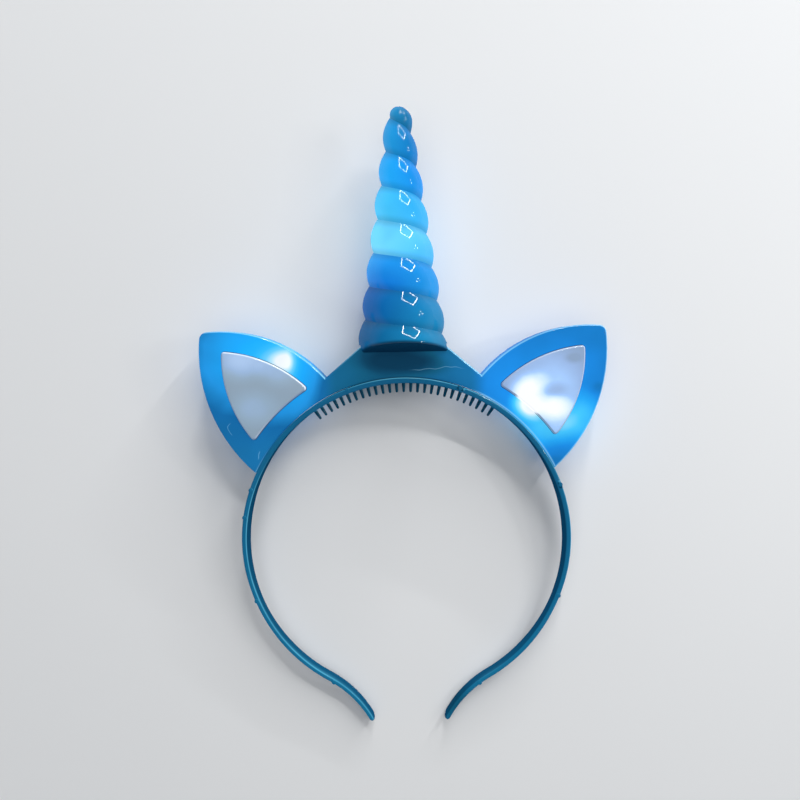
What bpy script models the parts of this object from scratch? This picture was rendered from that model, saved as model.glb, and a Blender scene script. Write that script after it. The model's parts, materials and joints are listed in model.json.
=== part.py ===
"""Light-up unicorn horn headband.

Modelled as it is worn and looked at from the front: X to the right, Y up along the horn and
Z towards the viewer, with the origin at the centre of the round band. At the end the whole
headband is laid on its back, on the horn's lowest coil and the two ends of the band.
"""

import math

import bmesh
import bpy
from mathutils import Matrix, Vector

MM = 0.001

# Band
BAND_RADIUS = 67.0 * MM
BAND_THICKNESS = 2.2 * MM
BAND_DEPTH = 12.4 * MM
BAND_EDGE_BEVEL = 0.5 * MM
BAND_END_THICKNESS = 1.7 * MM
BAND_END_DEPTH = 6.4 * MM
BAND_END_STEPS = 3
BAND_END_FLAT = 0.25
BAND_ARC = math.radians(150)
TAPER_START = math.radians(68)
TAPER_END = math.radians(120)
FLARE_RADIUS = 45.0 * MM
FLARE_TURN = math.radians(30.5)
FLARE_RUN = FLARE_TURN * FLARE_RADIUS / BAND_RADIUS
BAND_STEPS = 60
FLARE_STEPS = 7

# Comb under the top of the band
TOOTH_COUNT = 27
COMB_HALF_ANGLE = math.radians(34)
TOOTH_LENGTH = 4.0 * MM
TOOTH_ROOT = 0.8 * MM
TOOTH_TIP = 0.5 * MM
TOOTH_SIDES = 6
COMB_SHIFT = -1.0 * MM

# Ejector marks moulded on the band's front edge, by their angle from the top
MARK_ANGLES = [math.radians(a) for a in (-152, -111, -80, -70, -20, 20, 70, 111, 154)]
MARK_RADIUS = 0.9 * MM
MARK_INSET = 0.6 * MM
MARK_PROUD = 0.15 * MM
MARK_SIDES = 10

# Housing, the mount and both ears in two half shells
HOUSING_DEPTH = 10.6 * MM
HOUSING_WALL = 1.8 * MM
HOUSING_EDGE_BEVEL = 0.5 * MM
CLEARANCE = 0.3 * MM
MOUNT_HEIGHT = 13.0 * MM
MOUNT_TOP = BAND_RADIUS + MOUNT_HEIGHT
MOUNT_INSET = 2.25 * MM
NOTCH_HEIGHT = 7.3 * MM
NOTCH_ANGLE = math.radians(25)
EAR_HEIGHT = 51.4 * MM
EAR_ANGLE = math.radians(43.2)
EAR_TIP_RADIUS = 3.0 * MM
EAR_TOP_RISE = 6.8 * MM
EAR_OUTER_RISE = 7.6 * MM
EAR_FOOT_ANGLE = math.radians(64)
EAR_STEPS = 10

# White windows in the ears
WINDOW_OFFSET = 7.0 * MM
WINDOW_INNER_ANGLE = math.radians(31.2)
WINDOW_OUTER_ANGLE = math.radians(55)
WINDOW_TIP_HEIGHT = 40.0 * MM
WINDOW_TIP_ANGLE = math.radians(42.7)
WINDOW_TOP_RISE = 3.4 * MM
WINDOW_OUTER_RISE = 3.7 * MM
WINDOW_CORNER = 1.2 * MM
WINDOW_PROUD = 0.9 * MM
WINDOW_EDGE_BEVEL = 0.35 * MM
WINDOW_FLANGE = 1.0 * MM
WINDOW_FLANGE_THICKNESS = 1.0 * MM
WINDOW_STEPS = 7

# Horn
HORN_LAP = 2.8 * MM
HORN_LENGTH = 97.2 * MM
HORN_BASE = MOUNT_TOP - HORN_LAP
HORN_TIP = HORN_BASE + HORN_LENGTH
HORN_BASE_RADIUS = 18.75 * MM
HORN_TIP_RADIUS = 4.75 * MM
HORN_DOME = 5.5 * MM
HORN_WALL = 1.6 * MM
HORN_FLOOR = 2.0 * MM
COIL_PITCH = 13.27 * MM
COIL_DEPTH = 1.9 * MM
COIL_START = 0.3 * MM
COIL_STEPS = 30
COIL_PROFILE = (0.0, 0.06, 0.18, 0.34, 0.5, 0.66, 0.82, 0.94, 1.0)
PHASE_NUDGE = 1e-5
UNDERSIDE_SLOPE = math.radians(16)
CAVITY_TOP_RADIUS = 2.5 * MM

# Post and lamps inside
POST_RADIUS = 5.0 * MM
POST_HEIGHT = 22.5 * MM
HORN_LAMP_RADIUS = 2.5 * MM
HORN_LAMP_HEIGHT = 8.6 * MM
EAR_LAMP_RADIUS = 1.5 * MM
EAR_LAMP_HEIGHT = 4.4 * MM
LEFT_LAMP_HEIGHT = 20.1 * MM
LEFT_LAMP_ANGLE = math.radians(-31.6)
RIGHT_LAMP_HEIGHT = 13.3 * MM
RIGHT_LAMP_ANGLE = math.radians(45.2)
LAMP_SIDES = 12
ROUND_SIDES = 24

# Battery cover in the hidden back
COVER_WIDTH = 26.0 * MM
COVER_MARGIN = 3.0 * MM
COVER_HEIGHT = MOUNT_HEIGHT - 2 * COVER_MARGIN
COVER_THICKNESS = 0.8 * MM
COVER_CORNER = 1.2 * MM
COVER_LEDGE = 1.2 * MM

HOUSING_FRONT = HOUSING_DEPTH / 2
FLOOR_TO_CEILING = HOUSING_DEPTH - 2 * HOUSING_WALL
SHARP_ANGLE = math.radians(35)
WELD = 0.01 * MM


# Scene and materials

def clear_scene():
    """Removes every object, so that the script starts from nothing."""
    for obj in list(bpy.data.objects):
        bpy.data.objects.remove(obj, do_unlink=True)


def plastic(name, colour, roughness, transmission=0.0):
    """A Principled BSDF material of one colour."""
    mat = bpy.data.materials.new(name)
    mat.use_nodes = True
    shader = mat.node_tree.nodes["Principled BSDF"]
    shader.inputs["Base Color"].default_value = (*colour, 1.0)
    shader.inputs["Roughness"].default_value = roughness
    shader.inputs["Metallic"].default_value = 0.0
    shader.inputs["Transmission Weight"].default_value = transmission
    return mat


def finish(name, bm, mat=None, smooth=True):
    """Turns a bmesh into an object, with outward faces and soft shading."""
    bmesh.ops.recalc_face_normals(bm, faces=bm.faces)
    mesh = bpy.data.meshes.new(name)
    bm.to_mesh(mesh)
    bm.free()
    obj = bpy.data.objects.new(name, mesh)
    bpy.context.collection.objects.link(obj)
    if mat:
        mesh.materials.append(mat)
    if smooth:
        mesh.shade_smooth()
        mesh.set_sharp_from_angle(angle=SHARP_ANGLE)
    return obj


def tool(name, bm):
    """A cutter or an addition that only a Boolean reads."""
    obj = finish(name, bm, smooth=False)
    obj.hide_render = True
    obj.display_type = "WIRE"
    return obj


def boolean(obj, other, operation):
    """Adds an exact Boolean with another object."""
    modifier = obj.modifiers.new(other.name, "BOOLEAN")
    modifier.operation = operation
    modifier.solver = "EXACT"
    modifier.object = other


# Outlines

def polar(radius, angle):
    """A point at a radius and an angle from the top, clockwise as the viewer sees it."""
    return Vector((radius * math.sin(angle), radius * math.cos(angle)))


def above_band(height, angle):
    """A point at a height over the band's outer face and an angle from the top."""
    return polar(BAND_RADIUS + height, angle)


def arc(start, end, rise, steps):
    """Points on the arc from start to end that bulges by rise to the left, without its end."""
    chord = end - start
    half = chord.length / 2
    radius = (half * half + rise * rise) / (2 * rise)
    left = Vector((-chord.y, chord.x)).normalized()
    centre = (start + end) / 2 + left * (rise - radius)
    sweep = 2 * math.asin(half / radius)
    arm = start - centre
    return [centre + Matrix.Rotation(-sweep * i / steps, 2) @ arm for i in range(steps)]


def mirrored(points):
    """The same outline on the other side, run the other way."""
    return [Vector((-p.x, p.y)) for p in reversed(points)]


def grown(points, distance):
    """The outline moved out by a distance, for an outline that runs counter-clockwise."""
    result = []
    for before, here, after in zip(points[-1:] + points[:-1], points, points[1:] + points[:1]):
        first = (here - before).normalized()
        second = (after - here).normalized()
        out_first = Vector((first.y, -first.x))
        out_second = Vector((second.y, -second.x))
        middle = (out_first + out_second).normalized()
        result.append(here + middle * distance / middle.dot(out_first))
    return result


def rounded(points, corner, radius, steps=4):
    """The outline with the vertex nearest to a corner replaced by an arc of a given radius."""
    index = min(range(len(points)), key=lambda i: (points[i] - corner).length)
    here = points[index]
    before = (points[index - 1] - here).normalized()
    after = (points[(index + 1) % len(points)] - here).normalized()
    half = before.angle(after) / 2
    reach = radius / math.tan(half)
    room = min((points[index - 1] - here).length, (points[(index + 1) % len(points)] - here).length)
    reach = min(reach, 0.9 * room)
    start = here + before * reach
    end = here + after * reach
    rise = reach * math.tan(half) * (1 - math.sin(half))
    curve = [start] + list(reversed(arc(end, start, rise, steps)))
    return points[:index] + curve + points[index + 1:]


def housing_outline():
    """Both ears and the mount, counter-clockwise from the right foot."""
    foot = above_band(CLEARANCE, EAR_FOOT_ANGLE)
    tip = above_band(EAR_HEIGHT, EAR_ANGLE)
    notch = above_band(NOTCH_HEIGHT, NOTCH_ANGLE)
    shoulder = Vector((HORN_BASE_RADIUS - MOUNT_INSET, MOUNT_TOP))
    outer = list(reversed(arc(tip, foot, EAR_OUTER_RISE, EAR_STEPS)))
    top = list(reversed(arc(notch, tip, EAR_TOP_RISE, EAR_STEPS)))
    right = [foot] + outer + top + [shoulder]
    step = 2 * BAND_ARC / BAND_STEPS
    count = math.ceil(EAR_FOOT_ANGLE / step - 0.5) - 1
    seat = [above_band(CLEARANCE, step * i) for i in range(-count, count + 1)]
    outline = right + mirrored(right) + seat
    outline = rounded(outline, tip, EAR_TIP_RADIUS)
    return rounded(outline, Vector((-tip.x, tip.y)), EAR_TIP_RADIUS)


def window_outline():
    """The right ear's window, counter-clockwise from its inner corner."""
    inner = above_band(WINDOW_OFFSET, WINDOW_INNER_ANGLE)
    outer = above_band(WINDOW_OFFSET, WINDOW_OUTER_ANGLE)
    tip = above_band(WINDOW_TIP_HEIGHT, WINDOW_TIP_ANGLE)
    turn = (WINDOW_OUTER_ANGLE - WINDOW_INNER_ANGLE) / WINDOW_STEPS
    base = [above_band(WINDOW_OFFSET, WINDOW_INNER_ANGLE + turn * i) for i in range(WINDOW_STEPS)]
    side = [outer] + list(reversed(arc(tip, outer, WINDOW_OUTER_RISE, WINDOW_STEPS)))
    top = list(reversed(arc(inner, tip, WINDOW_TOP_RISE, WINDOW_STEPS)))[:-1]
    outline = base + side + top
    for corner in (inner, outer, tip):
        outline = rounded(outline, corner, WINDOW_CORNER, 3)
    return outline


def rectangle(width, height, middle, corner):
    """A rectangle with rounded corners, counter-clockwise."""
    x, y = width / 2, height / 2
    corners = [middle + Vector(p) for p in ((-x, -y), (x, -y), (x, y), (-x, y))]
    outline = corners
    for point in corners:
        outline = rounded(outline, point, corner, 3)
    return outline


# Solids from outlines

def prism(bm, outline, back, front):
    """Adds a closed prism and returns its two flat faces, the back one first."""
    base = bm.faces.new([bm.verts.new((p.x, p.y, back)) for p in outline])
    made = bmesh.ops.extrude_face_region(bm, geom=[base], use_keep_orig=True)
    moved = [v for v in made["geom"] if isinstance(v, bmesh.types.BMVert)]
    cap = [f for f in made["geom"] if isinstance(f, bmesh.types.BMFace)][0]
    bmesh.ops.translate(bm, verts=moved, vec=(0, 0, front - back))
    return base, cap


def bevel_face(bm, face, width, segments=1):
    """Rounds the edges around a flat face."""
    bmesh.ops.bevel(
        bm, geom=list(face.edges), offset=width, offset_type="OFFSET", affect="EDGES",
        segments=segments, profile=0.5, material=-1, clamp_overlap=True)


def prism_tool(name, outline, back, front):
    """A prism that only a Boolean reads."""
    bm = bmesh.new()
    prism(bm, outline, back, front)
    return tool(name, bm)


def cylinder(bm, radius, low, high, sides, top_radius=None):
    """Adds a closed round peg that stands along Y."""
    matrix = Matrix.Translation((0, (low + high) / 2, 0)) @ Matrix.Rotation(-math.pi / 2, 4, "X")
    bmesh.ops.create_cone(
        bm, cap_ends=True, segments=sides, radius1=radius,
        radius2=radius if top_radius is None else top_radius, depth=high - low, matrix=matrix)


# Band

def eased(value):
    """Goes from 0 to 1 with a soft start and end."""
    value = max(0.0, min(1.0, value))
    return value * value * (3 - 2 * value)


def band_runs():
    """The angles run from the top at which the band has a section, closer along its flared ends."""
    ring = [BAND_ARC * (2 * i / BAND_STEPS - 1) for i in range(BAND_STEPS + 1)]
    flare = [BAND_ARC + FLARE_RUN * i / FLARE_STEPS for i in range(1, FLARE_STEPS + 1)]
    return [-run for run in reversed(flare)] + ring + flare


def band_place(run):
    """A point on the band's outer face and the outward direction there."""
    angle = min(abs(run), BAND_ARC)
    place = polar(BAND_RADIUS, angle)
    outward = polar(1, angle)
    if abs(run) > BAND_ARC:
        pivot = polar(BAND_RADIUS + FLARE_RADIUS, BAND_ARC)
        turn = (abs(run) - BAND_ARC) * BAND_RADIUS / FLARE_RADIUS
        arm = Matrix.Rotation(turn, 2) @ (place - pivot)
        place = pivot + arm
        outward = -arm.normalized()
    side = math.copysign(1, run)
    return Vector((side * place.x, place.y)), Vector((side * outward.x, outward.y))


def band_depth(run):
    """The band's depth, which tapers below the ears."""
    taper = eased((abs(run) - TAPER_START) / (TAPER_END - TAPER_START))
    return BAND_DEPTH + (BAND_END_DEPTH - BAND_DEPTH) * taper


def band_section(thickness, depth, bevel):
    """The band's cross-section as inward and forward distances, with bevelled edges."""
    half = depth / 2
    soft = bevel * (1 - math.sqrt(0.5))
    corner = [(bevel, half), (soft, half - soft), (0, half - bevel)]
    outer = [(x, z) for x, z in corner] + [(x, -z) for x, z in reversed(corner)]
    inner = [(thickness - x, z) for x, z in reversed(outer)]
    return outer + inner


def band_mesh():
    """The bare band, lofted through sections that taper towards its rounded ends."""
    bm = bmesh.new()
    rings = []
    for run in band_runs():
        place, outward = band_place(run)
        along = abs(run) / (BAND_ARC + FLARE_RUN)
        thickness = BAND_THICKNESS + (BAND_END_THICKNESS - BAND_THICKNESS) * along
        ring = []
        for inward, forward in band_section(thickness, band_depth(run), BAND_EDGE_BEVEL):
            point = place - outward * inward
            ring.append(bm.verts.new((point.x, point.y, forward)))
        rings.append(ring)
    for first, second in zip(rings, rings[1:]):
        for i in range(len(first)):
            j = (i + 1) % len(first)
            bm.faces.new((first[i], first[j], second[j], second[i]))
    ends = [bm.faces.new(rings[0]), bm.faces.new(rings[-1])]
    bmesh.ops.recalc_face_normals(bm, faces=bm.faces)
    for end in ends:
        round_band_end(bm, end)
    return bm


def round_band_end(bm, end):
    """Carries one end of the band on in shrinking steps, so that it is rounded."""
    outward = end.normal.copy()
    side = Vector((-outward.y, outward.x, 0))
    reach = BAND_END_THICKNESS
    face = end
    for i in range(BAND_END_STEPS):
        before = math.pi / 2 * i / BAND_END_STEPS
        after = math.pi / 2 * (i + 1) / BAND_END_STEPS
        face = bmesh.ops.extrude_discrete_faces(bm, faces=[face])["faces"][0]
        middle = face.calc_center_median()
        narrowing = max(math.cos(after), BAND_END_FLAT) / math.cos(before)
        drop = reach * (math.cos(before) - math.cos(after))
        step = outward * reach * (math.sin(after) - math.sin(before))
        for vert in face.verts:
            arm = vert.co - middle
            across = side * arm.dot(side) * narrowing
            depth = Vector((0, 0, arm.z - math.copysign(drop, arm.z)))
            vert.co = middle + across + depth + step


def comb_tool():
    """The comb teeth, tapered pegs that point to the band's centre."""
    bm = bmesh.new()
    root = BAND_RADIUS - BAND_THICKNESS / 2
    end = BAND_RADIUS - BAND_THICKNESS - TOOTH_LENGTH
    for i in range(TOOTH_COUNT):
        angle = -COMB_HALF_ANGLE + 2 * COMB_HALF_ANGLE * i / (TOOTH_COUNT - 1)
        tooth = bmesh.new()
        cylinder(tooth, TOOTH_TIP, end, root, TOOTH_SIDES, TOOTH_ROOT)
        tip = [f for f in tooth.faces if f.calc_center_median().y < end + TOOTH_TIP / 10]
        bevel_face(tooth, tip[0], TOOTH_TIP / 2)
        bmesh.ops.transform(
            tooth, verts=tooth.verts,
            matrix=Matrix.Translation((0, 0, COMB_SHIFT)) @ Matrix.Rotation(-angle, 4, "Z"))
        add_to(bm, tooth)
    return tool("comb_tool", bm)


def add_to(bm, other):
    """Copies one bmesh into another and frees it."""
    mesh = bpy.data.meshes.new("part")
    other.to_mesh(mesh)
    other.free()
    bm.from_mesh(mesh)
    bpy.data.meshes.remove(mesh)


def marks_tool():
    """The small round ejector marks on the front edge, run back along the outer face."""
    bm = bmesh.new()
    for run in MARK_ANGLES:
        front = band_depth(run) / 2 + MARK_PROUD
        place, outward = band_place(run)
        middle = place - outward * MARK_INSET
        turns = [-2 * math.pi * (i + 0.5) / MARK_SIDES for i in range(MARK_SIDES)]
        outline = [middle + polar(MARK_RADIUS, turn) for turn in turns]
        prism(bm, outline, front - 2 * MARK_RADIUS, front)
    return tool("marks_tool", bm)


def make_band(mat):
    band = finish("band", band_mesh(), mat)
    boolean(band, comb_tool(), "UNION")
    boolean(band, marks_tool(), "UNION")
    return band


# Housing

def half_shell():
    """One half of the housing on the viewer's side of the parting plane, open behind."""
    bm = bmesh.new()
    outline = housing_outline()
    gap = CLEARANCE / 2
    face = prism(bm, outline, gap, HOUSING_FRONT)[1]
    bevel_face(bm, face, HOUSING_EDGE_BEVEL)
    return bm


def cavity_tool(name):
    """The hollow inside both half shells."""
    outline = grown(housing_outline(), -HOUSING_WALL)
    half = HOUSING_FRONT - HOUSING_WALL
    return prism_tool(name, outline, -half, half)


def make_housing_front(mat):
    """The front shell, with an opening for each ear window."""
    shell = finish("housing_front", half_shell(), mat)
    boolean(shell, cavity_tool("front_cavity_tool"), "DIFFERENCE")
    opening = grown(window_outline(), CLEARANCE)
    middle = HOUSING_FRONT - HOUSING_WALL / 2
    for name, points in (("right", opening), ("left", mirrored(opening))):
        cutter = prism_tool(name + "_opening_tool", points, middle - HOUSING_WALL, middle + HOUSING_WALL)
        boolean(shell, cutter, "DIFFERENCE")
    return shell


def make_housing_back(mat):
    """The back shell, with a ledged opening for the battery cover."""
    bm = half_shell()
    bmesh.ops.scale(bm, vec=(1, 1, -1), verts=bm.verts)
    shell = finish("housing_back", bm, mat)
    boolean(shell, cavity_tool("back_cavity_tool"), "DIFFERENCE")
    middle = cover_middle()
    back = -HOUSING_FRONT
    recess = rectangle(
        COVER_WIDTH + 2 * CLEARANCE, COVER_HEIGHT + 2 * CLEARANCE, middle, COVER_CORNER + CLEARANCE)
    hole = rectangle(COVER_WIDTH - 2 * COVER_LEDGE, COVER_HEIGHT - 2 * COVER_LEDGE, middle, COVER_CORNER)
    depth = COVER_THICKNESS + CLEARANCE
    boolean(shell, prism_tool("cover_recess_tool", recess, back - depth, back + depth), "DIFFERENCE")
    boolean(shell, prism_tool("cover_hole_tool", hole, back - depth, back + 2 * HOUSING_WALL), "DIFFERENCE")
    return shell


def cover_middle():
    """The middle of the mount's back, between the band and the mount's top."""
    return Vector((0, (BAND_RADIUS + MOUNT_TOP) / 2))


def make_battery_cover(mat):
    bm = bmesh.new()
    outline = rectangle(COVER_WIDTH, COVER_HEIGHT, cover_middle(), COVER_CORNER)
    prism(bm, outline, -HOUSING_FRONT, -HOUSING_FRONT + COVER_THICKNESS)
    return finish("battery_cover", bm, mat)


def make_window(name, side, mat):
    """A milky plate that fills an ear's opening, held by a flange behind the front wall."""
    bm = bmesh.new()
    outline = window_outline()
    flange = grown(outline, WINDOW_FLANGE)
    if side < 0:
        outline, flange = mirrored(outline), mirrored(flange)
    seat = HOUSING_FRONT - HOUSING_WALL - CLEARANCE
    face = prism(bm, outline, seat - WINDOW_FLANGE_THICKNESS / 2, HOUSING_FRONT + WINDOW_PROUD)[1]
    bevel_face(bm, face, WINDOW_EDGE_BEVEL)
    window = finish(name, bm, mat)
    collar = prism_tool(name + "_flange_tool", flange, seat - WINDOW_FLANGE_THICKNESS, seat)
    boolean(window, collar, "UNION")
    return window


# Horn

def horn_radius(height):
    """The radius over the coils' crests, from the base to the tip."""
    share = (height - HORN_BASE) / (HORN_TIP - HORN_BASE)
    return HORN_BASE_RADIUS + (HORN_TIP_RADIUS - HORN_BASE_RADIUS) * share


def coil_radius(height, phase):
    """The horn's radius at a height, on its rounded coil or in the groove between two."""
    bulge = 1 - (2 * phase - 1) ** 2
    radius = horn_radius(height) - COIL_DEPTH * (1 - bulge)
    below_tip = (HORN_TIP - height) / HORN_DOME
    if below_tip < 1:
        radius *= math.sqrt(max(0.0, 1 - (1 - below_tip) ** 2))
    return radius


def spiral_mesh():
    """The horn's outer form as one closed solid, a coil wound from below the base to the tip."""
    bm = bmesh.new()
    low = HORN_BASE + COIL_START - COIL_PITCH
    turns = math.ceil((HORN_TIP - low) / COIL_PITCH) + 1
    profile = [bm.verts.new((-1, low + COIL_PITCH * share, 0)) for share in COIL_PROFILE]
    edges = [bm.edges.new(pair) for pair in zip(profile, profile[1:])]
    bmesh.ops.spin(
        bm, geom=profile + edges, cent=(0, 0, 0), axis=(0, 1, 0), angle=-2 * math.pi * turns,
        dvec=(0, COIL_PITCH / COIL_STEPS, 0), steps=COIL_STEPS * turns, use_duplicate=False)
    bottom = low + COIL_PITCH / 2
    for vert in bm.verts:
        shape_spiral_vertex(vert, bottom)
    bmesh.ops.remove_doubles(bm, verts=bm.verts, dist=WELD)
    bmesh.ops.dissolve_degenerate(bm, dist=WELD, edges=bm.edges)
    return bm


def shape_spiral_vertex(vert, bottom):
    """Moves one vertex of the plain coil out to the horn's radius, or onto its closed ends."""
    height = min(max(vert.co.y, bottom), HORN_TIP)
    if height != vert.co.y:
        vert.co = (0, height, 0)
        return
    turn = math.atan2(vert.co.z, -vert.co.x) % (2 * math.pi)
    wound = (height - HORN_BASE - COIL_START) / COIL_PITCH + turn / (2 * math.pi)
    radius = coil_radius(height, (wound + PHASE_NUDGE) % 1)
    vert.co = (-radius * math.cos(turn), height, radius * math.sin(turn))


def horn_slot():
    """Half the width of the slot that straddles the mount."""
    return HOUSING_FRONT + CLEARANCE


def underside_tool():
    """Everything below the horn: a slot over the mount and undersides that rise outwards."""
    slot = horn_slot()
    reach = 2 * HORN_BASE_RADIUS
    rim = HORN_BASE + (reach - slot) * math.tan(UNDERSIDE_SLOPE)
    low = HORN_BASE - COIL_PITCH * 2
    side = [(reach, low), (reach, rim), (slot, HORN_BASE), (slot, MOUNT_TOP + CLEARANCE)]
    outline = side + [(-z, y) for z, y in reversed(side)]
    bm = bmesh.new()
    face = bm.faces.new([bm.verts.new((-reach, y, z)) for z, y in outline])
    made = bmesh.ops.extrude_face_region(bm, geom=[face], use_keep_orig=True)
    moved = [v for v in made["geom"] if isinstance(v, bmesh.types.BMVert)]
    bmesh.ops.translate(bm, verts=moved, vec=(2 * reach, 0, 0))
    return tool("underside_tool", bm)


def horn_cavity_tool():
    """The hollow inside the horn and the hole for its post."""
    bm = bmesh.new()
    low = MOUNT_TOP + CLEARANCE + HORN_FLOOR
    inset = COIL_DEPTH + HORN_WALL
    low_radius = horn_radius(low) - inset
    slope = (HORN_BASE_RADIUS - HORN_TIP_RADIUS) / (HORN_TIP - HORN_BASE)
    high = low + (low_radius - CAVITY_TOP_RADIUS) / slope
    cylinder(bm, low_radius, low, high, ROUND_SIDES, CAVITY_TOP_RADIUS)
    return tool("horn_cavity_tool", bm)


def post_hole_tool():
    """The hole in the horn's floor that its post comes through."""
    bm = bmesh.new()
    low = MOUNT_TOP + CLEARANCE
    cylinder(bm, POST_RADIUS + CLEARANCE, low - HORN_FLOOR, low + 2 * HORN_FLOOR, ROUND_SIDES)
    return tool("post_hole_tool", bm)


def make_horn(mat):
    horn = finish("horn", spiral_mesh(), mat)
    boolean(horn, underside_tool(), "DIFFERENCE")
    boolean(horn, horn_cavity_tool(), "DIFFERENCE")
    boolean(horn, post_hole_tool(), "DIFFERENCE")
    return horn


# Post and lamps

def make_horn_post(mat):
    """The plain post that the horn is pushed onto."""
    bm = bmesh.new()
    low = MOUNT_TOP + CLEARANCE
    cylinder(bm, POST_RADIUS, low, low + POST_HEIGHT, ROUND_SIDES)
    return finish("horn_post", bm, mat)


def lamp_mesh(radius, height):
    """A small lamp along Z with a domed end, standing on the origin."""
    bm = bmesh.new()
    straight = height - radius
    profile = [(0, 0), (radius, 0), (radius, straight)]
    profile += [(radius * math.cos(a), straight + radius * math.sin(a)) for a in (math.pi / 6, math.pi / 3)]
    profile.append((0, height))
    verts = [bm.verts.new((x, 0, z)) for x, z in profile]
    edges = [bm.edges.new(pair) for pair in zip(verts, verts[1:])]
    bmesh.ops.spin(
        bm, geom=verts + edges, cent=(0, 0, 0), axis=(0, 0, 1), angle=2 * math.pi,
        steps=LAMP_SIDES, use_merge=True, use_duplicate=False)
    bmesh.ops.remove_doubles(bm, verts=bm.verts, dist=WELD)
    return bm


def make_horn_lamp(mat):
    bm = lamp_mesh(HORN_LAMP_RADIUS, HORN_LAMP_HEIGHT)
    foot = MOUNT_TOP + POST_HEIGHT + 2 * CLEARANCE
    bmesh.ops.transform(
        bm, verts=bm.verts, matrix=Matrix.Translation((0, foot, 0)) @ Matrix.Rotation(-math.pi / 2, 4, "X"))
    return finish("horn_lamp", bm, mat)


def make_ear_lamp(name, height, angle, mat):
    bm = lamp_mesh(EAR_LAMP_RADIUS, EAR_LAMP_HEIGHT)
    place = above_band(height, angle)
    foot = -FLOOR_TO_CEILING / 2 + CLEARANCE
    bmesh.ops.translate(bm, verts=bm.verts, vec=(place.x, place.y, foot))
    return finish(name, bm, mat)


# Resting pose

def world_points(objects):
    """Every vertex of the finished objects."""
    graph = bpy.context.evaluated_depsgraph_get()
    points = []
    for obj in objects:
        mesh = obj.evaluated_get(graph).to_mesh()
        points += [v.co.copy() for v in mesh.vertices]
    return points


def lay_on_back(objects):
    """Turns everything about X until the horn's coil and the band's ends lie level, on Z = 0."""
    points = world_points(objects)
    horn_side = [p for p in points if p.y > 0]
    band_side = [p for p in points if p.y < 0]
    tilt = 0.0
    for _ in range(8):
        turn = Matrix.Rotation(tilt, 3, "X")
        high = min((turn @ p for p in horn_side), key=lambda p: p.z)
        low = min((turn @ p for p in band_side), key=lambda p: p.z)
        tilt -= math.atan2(high.z - low.z, high.y - low.y)
    turn = Matrix.Rotation(tilt, 3, "X")
    laid = [turn @ p for p in points]
    pose = bpy.data.objects.new("resting_pose", None)
    bpy.context.collection.objects.link(pose)
    pose.rotation_euler = (tilt, 0, 0)
    pose.location = (
        -(min(p.x for p in laid) + max(p.x for p in laid)) / 2,
        -(min(p.y for p in laid) + max(p.y for p in laid)) / 2,
        -min(p.z for p in laid))
    for obj in bpy.data.objects:
        if obj is not pose:
            obj.parent = pose


def main():
    clear_scene()
    blue = plastic("glossy_blue", (0.012, 0.23, 0.47), 0.18)
    glow_blue = plastic("soft_blue", (0.02, 0.34, 0.75), 0.22, 0.15)
    milky = plastic("milky_white", (0.75, 0.79, 0.86), 0.3, 0.2)
    clear = plastic("clear_lamp", (0.9, 0.95, 1.0), 0.1, 0.8)
    solids = [
        make_band(blue),
        make_housing_front(blue),
        make_housing_back(blue),
        make_battery_cover(blue),
        make_window("ear_window_left", -1, milky),
        make_window("ear_window_right", 1, milky),
        make_horn(glow_blue),
        make_horn_post(blue),
        make_horn_lamp(clear),
        make_ear_lamp("ear_lamp_left", LEFT_LAMP_HEIGHT, LEFT_LAMP_ANGLE, clear),
        make_ear_lamp("ear_lamp_right", RIGHT_LAMP_HEIGHT, RIGHT_LAMP_ANGLE, clear),
    ]
    lay_on_back(solids)


main()
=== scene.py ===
import json
import math

import bmesh
import bpy
from mathutils import Matrix, Vector


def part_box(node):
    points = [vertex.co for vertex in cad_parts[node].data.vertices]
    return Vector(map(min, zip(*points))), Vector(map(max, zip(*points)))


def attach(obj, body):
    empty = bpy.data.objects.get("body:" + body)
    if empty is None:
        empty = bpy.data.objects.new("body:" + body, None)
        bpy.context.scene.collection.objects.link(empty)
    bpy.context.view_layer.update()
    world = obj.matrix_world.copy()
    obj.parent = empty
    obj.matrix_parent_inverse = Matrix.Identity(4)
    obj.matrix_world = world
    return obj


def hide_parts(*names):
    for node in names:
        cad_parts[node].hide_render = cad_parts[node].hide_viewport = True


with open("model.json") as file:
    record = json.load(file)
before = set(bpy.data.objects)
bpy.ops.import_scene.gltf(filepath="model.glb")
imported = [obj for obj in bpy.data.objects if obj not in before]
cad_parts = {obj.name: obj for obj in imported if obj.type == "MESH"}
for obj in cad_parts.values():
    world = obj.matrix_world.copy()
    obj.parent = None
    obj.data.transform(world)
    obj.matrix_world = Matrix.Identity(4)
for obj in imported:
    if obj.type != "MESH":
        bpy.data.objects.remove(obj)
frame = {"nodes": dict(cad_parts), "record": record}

bl_info = {
    "name": "Unicorn Horn Headband",
    "version": (1, 0, 0),
    "blender": (4, 5, 0),
    "location": "View3D > Sidebar > Headband",
    "description": "Dresses a light-up unicorn horn headband around its CAD frame",
    "category": "Add Mesh",
}

MM = 0.001
# Points nearer to each other than this are one point
WELD = 0.01 * MM
SHARP_ANGLE = math.radians(40)


# The resting pose, read from the frame

def band_radius():
    """Half the band's width."""
    low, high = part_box("band")
    return (high.x - low.x) / 2


def resting_tilt():
    """How far the headband is turned about X as it lies, from the ear window's face."""
    faces = [m for m in frame["record"]["mounts"] if m["name"] == "ear_window_right_face"]
    axis = faces[0]["axis"]
    return math.atan2(-axis[1], axis[2])


def band_centre():
    """The middle of the round band, where it lies."""
    reach = band_radius() * 0.9999
    widest = [v.co for v in frame["nodes"]["band"].data.vertices if v.co.x > reach]
    y = (min(p.y for p in widest) + max(p.y for p in widest)) / 2
    z = (min(p.z for p in widest) + max(p.z for p in widest)) / 2
    return Vector((0, y, z))


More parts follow.
